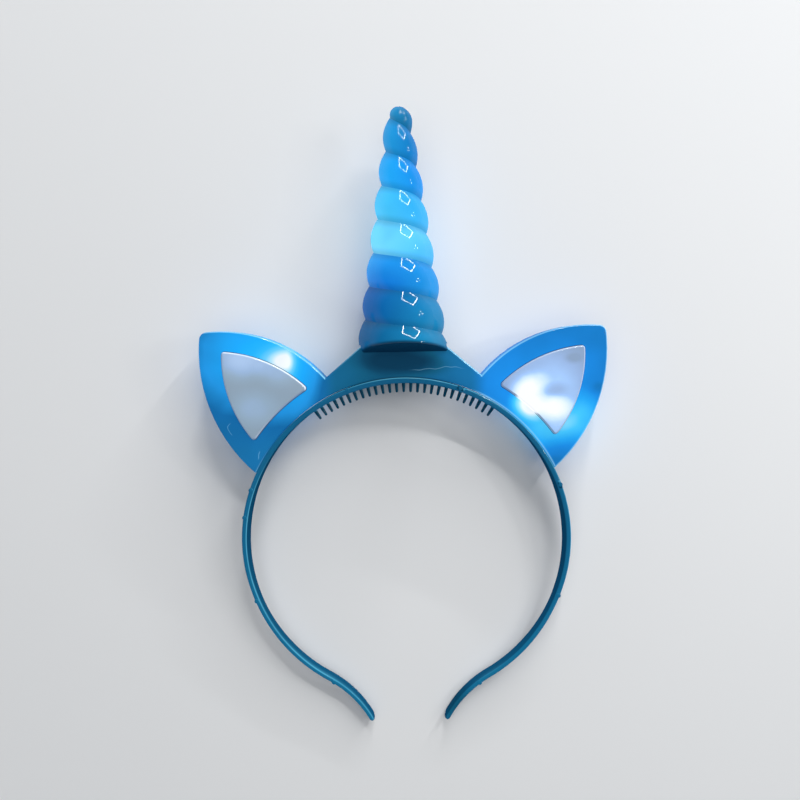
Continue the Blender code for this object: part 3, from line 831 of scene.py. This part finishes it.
def long_scratch(nodes, place):
    """One long wavy scratch across the right of the mount."""
    middle = LONG_SCRATCH[1] * MM
    wave = nodes.noise(nodes.stretched(place, LONG_SCRATCH_WAVE), 1.0)
    path = nodes.between(
        wave, 0.2, 0.8, middle - LONG_SCRATCH_SWING, middle + LONG_SCRATCH_SWING, smooth=False)
    away = nodes.math("ABSOLUTE", nodes.minus(nodes.axes(place)[1], path))
    line = nodes.between(away, 0.05 * MM, 0.22 * MM, 1.0, 0.0)
    where = nodes.between(lobes_of_light(nodes, place, [LONG_SCRATCH]), 0.0, 0.5)
    return nodes.times(line, where, 0.65)


def ear_glow(nodes, place):
    """Light from the two ear lamps through the blue shells, and the darker mount between."""
    x, y = nodes.axes(place)[:2]
    warp = nodes.between(nodes.noise(place, 50.0), 0.3, 0.7, 0.94, 1.06)
    left = flat_distance(nodes, x, y, LEFT_SPOT, towards_left=0.6, towards_right=1.6)
    left_share = nodes.math("DIVIDE", left, GLOW_REACH)
    left_glow = nodes.ramp(nodes.times(left_share, warp), LEFT_EAR_GLOW)
    right = lobes_of_light(nodes, place, RIGHT_RIM_LOBES)
    right_glow = nodes.ramp(nodes.times(right, warp), RIGHT_RIM_GLOW)
    plate = nodes.plus(lobes_of_light(nodes, place, PLATE_LOBES), PLATE_LEVEL)
    near, far = MOUNT_EDGE
    first = nodes.mix(nodes.between(x, -far, -near), left_glow, nodes.ramp(plate, PLATE_GLOW))
    return nodes.mix(nodes.between(x, near, far), first, right_glow)


def housing_material(name, share):
    """Glossy blue plastic lit by the ears' lamps, with painted highlights on edges and scratches.
    """
    nodes = Nodes(name)
    place = nodes.worn()
    _, edge, lit = rounded_edges(nodes, 0.05, 0.5)
    # Painted highlights on the rounded edges on the lit side, and more on the right of the mount
    highlight_on_right = nodes.between(nodes.axes(place)[0], *MOUNT_EDGE, 0.0, 0.7)
    shine = nodes.times(edge, nodes.math("MAXIMUM", lit, highlight_on_right), 0.75)
    glow = nodes.mix(shine, ear_glow(nodes, place), tone(150, 225, 255))
    # Real scratches, drawn lighter in the glow as a painted highlight along them
    marks = nodes.math("MAXIMUM", hair_lines(nodes, place), long_scratch(nodes, place))
    glow = nodes.mix(nodes.times(marks, 0.35), glow, tone(150, 215, 245))
    cloud = nodes.between(nodes.noise(place, 45.0), 0.25, 0.75, 0.85, 1.1)
    return lit_plastic(
        nodes, place, roughness=0.3,
        tint=nodes.mottled(nodes.noise(place, 30.0), settings().colours.blue, 1.2),
        glow=glow, strength=nodes.times(cloud, share), coat=0.22, coat_roughness=0.03)


def band_material():
    """Faintly lit blue band plastic: painted shade on walls and inside, painted edge highlights,
    darker right end.
    """
    nodes = Nodes("band_blue_plastic")
    place = nodes.worn()
    x, y = nodes.axes(place)[:2]
    up = nodes.between(y, -130 * MM, 70 * MM, smooth=False)
    facing, edge, lit = rounded_edges(nodes, 0.0, 0.5)
    glow = nodes.mix(
        nodes.between(facing, 0.1, 0.5), nodes.ramp(up, BAND_SHADED_WALL_GLOW),
        nodes.ramp(up, BAND_FRONT_GLOW))
    uneven = nodes.between(nodes.noise(place, 28.0), 0.35, 0.65, 0.3, 0.6)
    # Painted highlight along the rounded front edges on the lit side
    glow = nodes.mix(nodes.times(edge, lit, uneven), glow, tone(110, 205, 235))
    # Painted shade: the inner face glows far less than the front
    inner = BAND_RADIUS - settings().band.thickness
    radius = flat_distance(nodes, x, y, Vector((0, 0)))
    strength = nodes.between(radius, inner - 0.5 * MM, inner, 0.12, 1.0)
    strength = nodes.plus(strength, lobes_of_light(nodes, place, RIGHT_END_LOBES))
    return lit_plastic(
        nodes, place, roughness=0.22,
        tint=nodes.mottled(nodes.noise(place, 30.0), settings().colours.band_blue, 1.3),
        glow=glow, strength=strength, coat=nodes.between(facing, 0.5, 0.9, 0.0, 0.25),
        coat_roughness=0.12)


# How bright a window is behind the shell's face, a painted shadow in the gap round it, and where it
# stands proud of it
WINDOW_SHADOW_GLOW = 0.06
WINDOW_GLOW = 0.85


def window_material(name, lobes, stops, lit_edge_colour):
    """Milky translucent plastic with soft lobes of light behind it, painted highlight and shade on
    its edge.
    """
    face = settings().housing.depth / 2
    nodes = Nodes(name)
    place = nodes.worn()
    light = lobes_of_light(nodes, place, lobes)
    cloud = nodes.between(nodes.noise(place, 90.0, 3.0), 0.3, 0.7, 0.88, 1.08)
    glow = nodes.ramp(nodes.times(light, cloud), stops)
    _, edge, lit = rounded_edges(nodes, -0.2, 0.5)
    # The rounded edge is painted: a painted highlight on its lit side and a painted grey shade on
    # the rest, except where the light behind is hot
    lit_and_shaded_edge = nodes.mix(lit, tone(96, 118, 146), tone(*lit_edge_colour))
    hot = nodes.between(light, 0.7, 1.0)
    lit_and_shaded_edge_share = nodes.times(edge, nodes.math("SUBTRACT", 0.95, hot, clamp=True))
    # Painted shadow: below the shell's face, in the gap and on the flange, the window glows far
    # less
    proud = nodes.between(
        nodes.axes(place)[2], face - 0.6 * MM, face, WINDOW_SHADOW_GLOW, WINDOW_GLOW)
    return lit_plastic(
        nodes, place, roughness=0.35,
        tint=nodes.mottled(nodes.noise(place, 60.0), settings().colours.milky, 1.15),
        glow=nodes.mix(lit_and_shaded_edge_share, glow, lit_and_shaded_edge),
        strength=nodes.math("MAXIMUM", proud, nodes.times(hot, WINDOW_GLOW)),
        coat=0.2, coat_roughness=0.06, specular=0.1)


def lamp_material():
    """Clear lit resin of the lamps."""
    nodes = Nodes("clear_lit_resin")
    place = nodes.worn()
    cloud = nodes.noise(place, 300.0, 1.0)
    tint = nodes.mottled(cloud, settings().colours.lamp, 0.9)
    return nodes.finish(
        Base_Color=tint, Roughness=nodes.between(cloud, 0.3, 0.7, 0.08, 0.14),
        Emission_Color=tint, Emission_Strength=2.0, IOR=1.5)


# Horn

def horn_base():
    """The height of the horn's lowest edge."""
    return BAND_RADIUS + settings().housing.mount_height - settings().horn.lap


def slot_half():
    """Half the width of the slot in the horn's foot, which the mount stands in."""
    housing = settings().housing
    return housing.depth / 2 + housing.clearance


def horn_radius(height):
    """The radius over the coils' crests, from the base to the tip."""
    horn = settings().horn
    share = (height - horn_base()) / horn.height
    return horn.base_radius + (horn.tip_radius - horn.base_radius) * share


def coil_radius(height, phase):
    """The horn's radius at a height, on its rounded coil or in the groove between two."""
    horn = settings().horn
    bulge = 1 - (2 * phase - 1) ** 2
    radius = horn_radius(height) - horn.groove * (1 - bulge)
    below_tip = (horn_base() + horn.height - height) / horn.dome
    if below_tip < 1:
        radius *= math.sqrt(max(0.0, 1 - (1 - below_tip) ** 2))
    return radius


# Heights of a coil's points from one groove to the next, closer together by the grooves
COIL_PROFILE = (
    0.0, 0.02, 0.05, 0.1, 0.16, 0.24, 0.33, 0.42, 0.5, 0.58, 0.67, 0.76, 0.84, 0.9, 0.95, 0.98,
    1.0)
# Keeps the points in a groove on one side of it, whatever the rounding of the sums
PHASE_NUDGE = 1e-5
# Cuts above the underside, as shares of the rim's radius, that give the rim its rounding
RIM_SHARES = (1.0, 0.65, 0.36, 0.15, 0.04)
BORE_SIDES = 48


def spiral():
    """The horn's outer form as one closed solid, a coil wound from below the base to the tip."""
    horn = settings().horn
    bm = bmesh.new()
    base = horn_base()
    tip = base + horn.height
    low = base + horn.start - 2 * horn.pitch
    turns = math.ceil((tip - low) / horn.pitch) + 1
    profile = [bm.verts.new((-1, low + horn.pitch * share, 0)) for share in COIL_PROFILE]
    edges = [bm.edges.new(pair) for pair in zip(profile, profile[1:])]
    bmesh.ops.spin(
        bm, geom=profile + edges, cent=(0, 0, 0), axis=(0, 1, 0), angle=-2 * math.pi * turns,
        dvec=(0, horn.pitch / horn.steps, 0), steps=horn.steps * turns, use_duplicate=False)
    bottom = low + horn.pitch + WELD
    # Points past the bottom or the tip go to the axis, where they close the form
    for vert in bm.verts:
        height = min(max(vert.co.y, bottom), tip)
        if height != vert.co.y:
            vert.co = (0, height, 0)
            continue
        angle = math.atan2(vert.co.z, -vert.co.x) % (2 * math.pi)
        wound = (height - base - horn.start) / horn.pitch + angle / (2 * math.pi)
        radius = coil_radius(height, (wound + PHASE_NUDGE) % 1)
        vert.co = (-radius * math.cos(angle), height, radius * math.sin(angle))
    bmesh.ops.remove_doubles(bm, verts=bm.verts, dist=WELD)
    bmesh.ops.dissolve_degenerate(bm, dist=WELD, edges=bm.edges)
    return bm


def underside_plane(side):
    """A point and the downward normal of the front underside, 1, or the back one, -1."""
    slope = settings().horn.underside
    point = Vector((0, horn_base(), side * slot_half()))
    return point, Vector((0, -math.cos(slope), side * math.sin(slope)))


def shape_underside(bm):
    """Cuts both undersides and rounds the rim over them."""
    rim = settings().horn.rim
    for side in (1, -1):
        point, normal = underside_plane(side)
        for share in RIM_SHARES:
            bmesh.ops.bisect_plane(
                bm, geom=bm.verts[:] + bm.edges[:] + bm.faces[:], dist=WELD / 10,
                plane_co=point - normal * rim * share, plane_no=normal)
        made = bmesh.ops.bisect_plane(
            bm, geom=bm.verts[:] + bm.edges[:] + bm.faces[:], dist=WELD / 10,
            plane_co=point, plane_no=normal, clear_outer=True)
        edges = [e for e in made["geom_cut"] if isinstance(e, bmesh.types.BMEdge)]
        bmesh.ops.holes_fill(bm, edges=edges, sides=0)
    for vert in bm.verts:
        if abs(vert.co.z) < WELD:
            continue
        point, normal = underside_plane(1 if vert.co.z > 0 else -1)
        over = (point - vert.co).dot(normal)
        if over < rim:
            inset = rim - math.sqrt(max(0.0, rim * rim - (rim - over) ** 2))
            flat = Vector((vert.co.x, 0, vert.co.z))
            vert.co -= flat.normalized() * min(inset, flat.length)


def bore(obj, low_radius, top_radius, low, high):
    """Cuts a round hollow along Y out of an object."""
    bm = bmesh.new()
    cylinder(bm, low_radius, low, high, BORE_SIDES, top_radius)
    cut(obj, bm)


class HEADBAND_OT_horn(bpy.types.Operator):
    """Model the soft spiral horn"""
    bl_idname = "headband.horn"
    bl_label = "Horn"
    bl_options = {"REGISTER", "UNDO"}

    def execute(self, context):
        horn = settings().horn
        housing = settings().housing
        bm = spiral()
        shape_underside(bm)
        bmesh.ops.triangulate(bm, faces=[f for f in bm.faces if len(f.verts) > 4])
        obj = new_object("horn_spiral", bm)
        top = BAND_RADIUS + housing.mount_height + housing.clearance
        reach = 2 * horn.base_radius
        bm = bmesh.new()
        bmesh.ops.create_cube(bm, size=1.0)
        bmesh.ops.scale(bm, vec=(2 * reach, 2 * reach, 2 * slot_half()), verts=bm.verts)
        bmesh.ops.translate(bm, vec=(0, top - reach, 0), verts=bm.verts)
        cut(obj, bm)
        low = top + horn.floor
        low_radius = horn_radius(low) - horn.groove - horn.wall
        slope = (horn.base_radius - horn.tip_radius) / horn.height
        high = low + (low_radius - horn.cavity_top) / slope
        bore(obj, low_radius, horn.cavity_top, low, high)
        post = horn.post_radius + housing.clearance
        bore(obj, post, post, top - horn.floor, top + 2 * horn.floor)
        lay_down(obj, horn_material(), "horn")
        return {"FINISHED"}


# Band

def eased(value):
    """Goes from 0 to 1 with a soft start and end."""
    value = max(0.0, min(1.0, value))
    return value * value * (3 - 2 * value)


def flare_run():
    """The angle run along the flare, as if on the round part."""
    band = settings().band
    return band.flare_turn * band.flare_radius / BAND_RADIUS


def band_place(run):
    """A point on the band's outer face and the outward direction there."""
    band = settings().band
    angle = min(abs(run), band.arc)
    place = polar(BAND_RADIUS, angle)
    outward = polar(1, angle)
    if abs(run) > band.arc:
        pivot = polar(BAND_RADIUS + band.flare_radius, band.arc)
        swing = (abs(run) - band.arc) * BAND_RADIUS / band.flare_radius
        arm = Matrix.Rotation(swing, 2) @ (place - pivot)
        place = pivot + arm
        outward = -arm.normalized()
    side = math.copysign(1, run)
    return Vector((side * place.x, place.y)), Vector((side * outward.x, outward.y))


def band_depth(run):
    """The band's depth, which tapers below the ears."""
    band = settings().band
    taper = eased((abs(run) - band.taper_start) / (band.taper_end - band.taper_start))
    return band.depth + (band.end_depth - band.depth) * taper


BAND_STEPS = 150
FLARE_STEPS = 20
CORNER_STEPS = 4
END_STEPS = 6
# The share of the band's thickness that its blunt end keeps
END_FLAT = 0.75
TOOTH_SIDES = 12
TOOTH_TIP_STEPS = 3
# The shares of a tooth's tip and of a mark's height that are rounded
TOOTH_ROUNDING = 0.9
MARK_ROUNDING = 0.8
MARK_ANGLES = (-152, -111, -80, -70, -20, 20, 70, 111, 154)
MARK_SIDES = 20
MARK_EDGE_STEPS = 2


class HEADBAND_OT_band(bpy.types.Operator):
    """Model the springy band with its comb teeth and ejector marks"""
    bl_idname = "headband.band"
    bl_label = "Band"
    bl_options = {"REGISTER", "UNDO"}

    def execute(self, context):
        obj = new_object("headband_band", loft_band())
        for parts in (comb_teeth(), ejector_marks()):
            together = bmesh.new()
            for part in parts:
                add_to(together, part)
            cut(obj, together, "UNION")
        lay_down(obj, band_material(), "band")
        return {"FINISHED"}


def loft_band():
    """The band's sections, bridged from one end to the other, with rounded ends."""
    arc_end = settings().band.arc
    bm = bmesh.new()
    flare = flare_run()
    runs = [arc_end * (2 * i / BAND_STEPS - 1) for i in range(BAND_STEPS + 1)]
    ends = [arc_end + flare * i / FLARE_STEPS for i in range(1, FLARE_STEPS + 1)]
    runs = [-run for run in reversed(ends)] + runs + ends
    first = section_face(bm, runs[0], runs[-1])
    before = first.edges[:]
    for run in runs[1:]:
        face = section_face(bm, run, runs[-1])
        edges = face.edges[:]
        bmesh.ops.bridge_loops(bm, edges=before + edges)
        if run != runs[-1]:
            bm.faces.remove(face)
        before = edges
    bmesh.ops.recalc_face_normals(bm, faces=bm.faces)
    for end in (first, face):
        round_end(bm, end)
    return bm


def section_face(bm, run, last):
    """One cross-section of the band, as a face with rounded corners."""
    band = settings().band
    place, outward = band_place(run)
    thickness = band.thickness + (band.end_thickness - band.thickness) * abs(run) / last
    half = band_depth(run) / 2
    corners = ((0, -half), (thickness, -half), (thickness, half), (0, half))
    points = [place - outward * x for x, z in corners]
    verts = [bm.verts.new((p.x, p.y, z)) for p, (x, z) in zip(points, corners)]
    face = bm.faces.new(verts)
    made = bmesh.ops.bevel(
        bm, geom=verts, offset=band.edge, offset_type="OFFSET", affect="VERTICES",
        segments=CORNER_STEPS, profile=0.5, material=-1, clamp_overlap=True)
    return made["verts"][0].link_faces[0]


def round_end(bm, face):
    """Carries one end of the band on in shrinking steps, so that it is rounded."""
    outward = face.normal.copy()
    side = Vector((-outward.y, outward.x, 0))
    reach = settings().band.end_thickness
    for i in range(END_STEPS):
        before = math.pi / 2 * i / END_STEPS
        after = math.pi / 2 * (i + 1) / END_STEPS
        face = bmesh.ops.extrude_discrete_faces(bm, faces=[face])["faces"][0]
        middle = face.calc_center_median()
        narrowing = max(math.cos(after), END_FLAT) / max(math.cos(before), END_FLAT)
        drop = reach * (math.cos(before) - math.cos(after))
        step = outward * reach * (math.sin(after) - math.sin(before))
        for vert in face.verts:
            arm = vert.co - middle
            across = side * arm.dot(side) * narrowing
            depth = Vector((0, 0, arm.z - math.copysign(drop, arm.z)))
            vert.co = middle + across + depth + step


def comb_teeth():
    """Tapered pegs with rounded tips, pointing to the band's centre."""
    band = settings().band
    root = BAND_RADIUS - band.thickness / 2
    end = BAND_RADIUS - band.thickness - band.tooth_length
    for i in range(band.tooth_count):
        angle = band.comb_angle * (2 * i / (band.tooth_count - 1) - 1)
        tooth = bmesh.new()
        cylinder(tooth, band.tooth_tip, end, root, TOOTH_SIDES, band.tooth_root)
        tip = min(tooth.faces, key=lambda f: f.calc_center_median().y)
        bevel_face(tooth, tip, band.tooth_tip * TOOTH_ROUNDING, TOOTH_TIP_STEPS)
        bmesh.ops.transform(
            tooth, verts=tooth.verts,
            matrix=Matrix.Translation((0, 0, band.comb_shift)) @ Matrix.Rotation(-angle, 4, "Z"))
        yield tooth


def ejector_marks():
    """Small round marks on the front edge, run back along the outer face."""
    band = settings().band
    for degrees in MARK_ANGLES:
        run = math.radians(degrees)
        front = band_depth(run) / 2 + band.mark_proud
        place, outward = band_place(run)
        middle = place - outward * band.mark_inset
        turns = [-2 * math.pi * (i + 0.5) / MARK_SIDES for i in range(MARK_SIDES)]
        outline = [middle + polar(band.mark_radius, angle) for angle in turns]
        mark = bmesh.new()
        cap = prism(mark, outline, front - 2 * band.mark_radius, front)[1]
        bevel_face(mark, cap, band.mark_proud * MARK_ROUNDING, MARK_EDGE_STEPS)
        yield mark


# Housing

SHELL_EDGE_STEPS = 4


def half_shell():
    """One half of the housing on the viewer's side of the parting plane, open behind."""
    h = settings().housing
    bm = bmesh.new()
    face = prism(bm, housing_outline(), h.clearance / 2, h.depth / 2)[1]
    bevel_face(bm, face, h.edge, SHELL_EDGE_STEPS)
    return bm


def cavity():
    """The hollow inside both half shells."""
    h = settings().housing
    half = h.depth / 2 - h.wall
    bm = bmesh.new()
    prism(bm, grown(housing_outline(), -h.wall), -half, half)
    return bm


class HEADBAND_OT_housing(bpy.types.Operator):
    """Model the two shells of the housing, the mount and both ears"""
    bl_idname = "headband.housing"
    bl_label = "Housing"
    bl_options = {"REGISTER", "UNDO"}

    def execute(self, context):
        h = settings().housing
        material = housing_material("glossy_blue_shell", 1.0)
        front = new_object("shell_front", half_shell())
        cut(front, cavity())
        opening = grown(window_outline(), h.clearance)
        middle = h.depth / 2 - h.wall / 2
        for outline in (opening, mirrored(opening)):
            cut_prism(front, outline, middle - h.wall, middle + h.wall)
        lay_down(front, material, "housing_front")
        bm = half_shell()
        bmesh.ops.scale(bm, vec=(1, 1, -1), verts=bm.verts)
        back = new_object("shell_back", bm)
        cut(back, cavity())
        recess = cover_outline(h.clearance, h.cover_corner + h.clearance)
        hole = cover_outline(-h.cover_ledge, h.cover_corner)
        depth = h.cover_thickness + h.clearance
        for outline, reach in ((recess, depth), (hole, 2 * h.wall)):
            cut_prism(back, outline, -h.depth / 2 - depth, -h.depth / 2 + reach)
        lay_down(back, material, "housing_back")
        return {"FINISHED"}


WINDOW_EDGE_STEPS = 4


class HEADBAND_OT_windows(bpy.types.Operator):
    """Model the milky windows in both ears"""
    bl_idname = "headband.windows"
    bl_label = "Ear windows"
    bl_options = {"REGISTER", "UNDO"}

    def execute(self, context):
        h = settings().housing
        seat = h.depth / 2 - h.wall - h.clearance
        right_outline = window_outline()
        right_flange = grown(right_outline, h.flange)
        # The last colour of each window is the painted highlight on its lit edge
        for side, outline, flange, lobes, stops, lit_edge_colour in (
                ("left", mirrored(right_outline), mirrored(right_flange),
                 LEFT_WINDOW_LOBES, LEFT_WINDOW_GLOW, (236, 244, 250)),
                ("right", right_outline, right_flange,
                 RIGHT_WINDOW_LOBES, RIGHT_WINDOW_GLOW, (190, 204, 224))):
            bm = bmesh.new()
            face = prism(
                bm, outline, seat - h.flange_thickness / 2, h.depth / 2 + h.window_proud)[1]
            bevel_face(bm, face, h.window_edge, WINDOW_EDGE_STEPS)
            obj = new_object("milky_window_" + side, bm)
            cut_prism(obj, flange, seat - h.flange_thickness, seat, "UNION")
            material = window_material("milky_" + side, lobes, stops, lit_edge_colour)
            lay_down(obj, material, "ear_window_" + side)
        return {"FINISHED"}


class HEADBAND_OT_fittings(bpy.types.Operator):
    """Finish the post, the lamps and the battery cover of the frame"""
    bl_idname = "headband.fittings"
    bl_label = "Post, lamps and cover"
    bl_options = {"REGISTER", "UNDO"}

    def execute(self, context):
        lamp = lamp_material()
        blue = housing_material("glossy_blue_fittings", 0.5)
        for node, material in (
                ("horn_lamp", lamp), ("ear_lamp_left", lamp), ("ear_lamp_right", lamp),
                ("horn_post", blue), ("battery_cover", blue)):
            slots = frame["nodes"][node].material_slots
            if not slots:
                frame["nodes"][node].data.materials.append(material)
            for slot in slots:
                slot.material = material
        return {"FINISHED"}


# Stage

def area_light(name, place, target, width, height, power):
    """A rectangular soft light that looks at a point."""
    light = bpy.data.lights.new(name, "AREA")
    light.shape = "RECTANGLE"
    light.size = width
    light.size_y = height
    light.energy = power
    obj = bpy.data.objects.new(name, light)
    obj.location = place
    direction = Vector(target) - Vector(place)
    obj.rotation_euler = direction.to_track_quat("-Z", "Y").to_euler()
    bpy.context.collection.objects.link(obj)
    return obj


# Places and sizes of the stage are in metres and powers in watts, the frame's glow is its power
# over its area and pi, and the camera's sensor is in millimetres
FLOOR_REACH = 6
FLOOR_SQUARES = 8
OVERHEAD_PLACE = (0, 0, 2.5)
OVERHEAD_SIZE = 3.0
OVERHEAD_POWER = 31.0
FRAME_TARGET = Vector((0, 0.06, 0.02))
FRAME_PLACE = FRAME_TARGET + Vector((0.5, 1.08, 0.72))
FRAME_SIZE = (0.74, 0.84)
FRAME_EDGE = 0.02
FRAME_GLOW = 105.0
SPARKLE_PLACES = ((0.42, 0.14, 0.36), (0.46, 0.07, 0.34), (0.40, 0.03, 0.42))
SPARKLE_TARGET = (0, 0.06, 0)
SPARKLE_SIZE = 0.016
SPARKLE_POWER = 0.12
# Two places between level, 0, and overhead, 1, and the room's light there
HORIZON_LIGHT = (0.05, (0.55, 0.58, 0.62, 1))
OVERHEAD_SKY = (0.5, (0.03, 0.035, 0.04, 1))
SENSOR_WIDTH = 36
NEAREST_SEEN = 0.01


def light_frame(name, side, width, height):
    """One thin edge of the window-like frame of light that the gloss mirrors."""
    turned = (FRAME_TARGET - FRAME_PLACE).to_track_quat("-Z", "Y")
    offset = turned @ Vector((side[0] * FRAME_SIZE[0] / 2, side[1] * FRAME_SIZE[1] / 2, 0))
    obj = area_light(name, FRAME_PLACE + offset, FRAME_TARGET, width, height,
                     FRAME_GLOW * math.pi * width * height)
    obj.rotation_euler = turned.to_euler()


def studio_world():
    """Soft pale light from all round, darker overhead, where the flat gloss would mirror it."""
    world = bpy.data.worlds.new("studio")
    world.use_nodes = True
    tree = world.node_tree
    direction = tree.nodes.new("ShaderNodeTexCoord")
    split = tree.nodes.new("ShaderNodeSeparateXYZ")
    ramp = tree.nodes.new("ShaderNodeValToRGB")
    tree.links.new(direction.outputs["Generated"], split.inputs["Vector"])
    tree.links.new(split.outputs["Z"], ramp.inputs["Fac"])
    tree.links.new(ramp.outputs["Color"], tree.nodes["Background"].inputs["Color"])
    for stop, shade in zip(ramp.color_ramp.elements, (HORIZON_LIGHT, OVERHEAD_SKY)):
        stop.position, stop.color = shade
    return world


def floor_material():
    """Matt pale paper."""
    nodes = Nodes("pale_floor")
    place = nodes.node("ShaderNodeTexCoord").outputs["Object"]
    tint = nodes.mottled(nodes.noise(place, 6.0, 3.0), settings().colours.floor, 0.985)
    return nodes.finish(Base_Color=tint, Roughness=0.75, Specular_IOR_Level=0.2)


class HEADBAND_OT_stage(bpy.types.Operator):
    """Set up the pale floor, the soft lights and the camera"""
    bl_idname = "headband.stage"
    bl_label = "Stage"
    bl_options = {"REGISTER", "UNDO"}

    def execute(self, context):
        stage = settings().stage
        bm = bmesh.new()
        bmesh.ops.create_grid(
            bm, x_segments=FLOOR_SQUARES, y_segments=FLOOR_SQUARES, size=FLOOR_REACH)
        floor = new_object("pale_floor", bm)
        floor.data.materials.append(floor_material())
        context.scene.world = studio_world()
        overhead = area_light(
            "overhead", OVERHEAD_PLACE, (0, 0, 0), OVERHEAD_SIZE, OVERHEAD_SIZE, OVERHEAD_POWER)
        overhead.visible_glossy = False
        wide, high = FRAME_SIZE
        for name, side, width, height in (
                ("far_edge", (0, 1), wide, FRAME_EDGE), ("near_edge", (0, -1), wide, FRAME_EDGE),
                ("left_edge", (-1, 0), FRAME_EDGE, high), ("right_edge", (1, 0), FRAME_EDGE, high)):
            light_frame(name, side, width, height)
        for i, place in enumerate(SPARKLE_PLACES):
            area_light("sparkle_%d" % i, place, SPARKLE_TARGET, SPARKLE_SIZE, SPARKLE_SIZE,
                       SPARKLE_POWER)
        camera = bpy.data.cameras.new("camera")
        camera.lens = stage.lens
        camera.sensor_width = SENSOR_WIDTH
        camera.clip_start = NEAREST_SEEN
        obj = bpy.data.objects.new("camera", camera)
        obj.matrix_world = (
            Matrix.Translation((stage.across, stage.along, stage.distance))
            @ Matrix.Rotation(stage.nod, 4, "X") @ Matrix.Rotation(stage.roll, 4, "Z"))
        context.collection.objects.link(obj)
        context.scene.camera = obj
        context.scene.view_settings.view_transform = "Standard"
        return {"FINISHED"}


OPERATORS = (
    HEADBAND_OT_stage, HEADBAND_OT_band, HEADBAND_OT_housing, HEADBAND_OT_windows,
    HEADBAND_OT_horn, HEADBAND_OT_fittings)


class HEADBAND_PT_panel(bpy.types.Panel):
    """Lists the headband's pieces in the sidebar"""
    bl_label = "Unicorn Horn Headband"
    bl_idname = "HEADBAND_PT_panel"
    bl_space_type = "VIEW_3D"
    bl_region_type = "UI"
    bl_category = "Headband"

    def draw(self, context):
        for operator in OPERATORS:
            self.layout.operator(operator.bl_idname)
        for group_name in ("band", "housing", "horn", "colours", "stage"):
            group = getattr(context.scene.headband, group_name)
            box = self.layout.box()
            for name in group.bl_rna.properties.keys():
                if name not in ("rna_type", "name"):
                    box.prop(group, name)


CLASSES = (
    HeadbandBandSizes, HeadbandHousingSizes, HeadbandHornSizes, HeadbandColours, HeadbandStage,
    HeadbandSettings) + OPERATORS + (HEADBAND_PT_panel,)


def register():
    """Adds the headband's operators, panel and settings to Blender."""
    for cls in CLASSES:
        bpy.utils.register_class(cls)
    bpy.types.Scene.headband = bpy.props.PointerProperty(
        name="Headband", description="The headband's settings", type=HeadbandSettings)


def unregister():
    """Takes them away again."""
    del bpy.types.Scene.headband
    for cls in reversed(CLASSES):
        bpy.utils.unregister_class(cls)


def main():
    """Dresses the frame."""
    register()
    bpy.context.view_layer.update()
    bpy.ops.headband.stage()
    bpy.ops.headband.band()
    bpy.ops.headband.housing()
    bpy.ops.headband.windows()
    bpy.ops.headband.horn()
    bpy.ops.headband.fittings()


if __name__ == "__main__":
    main()
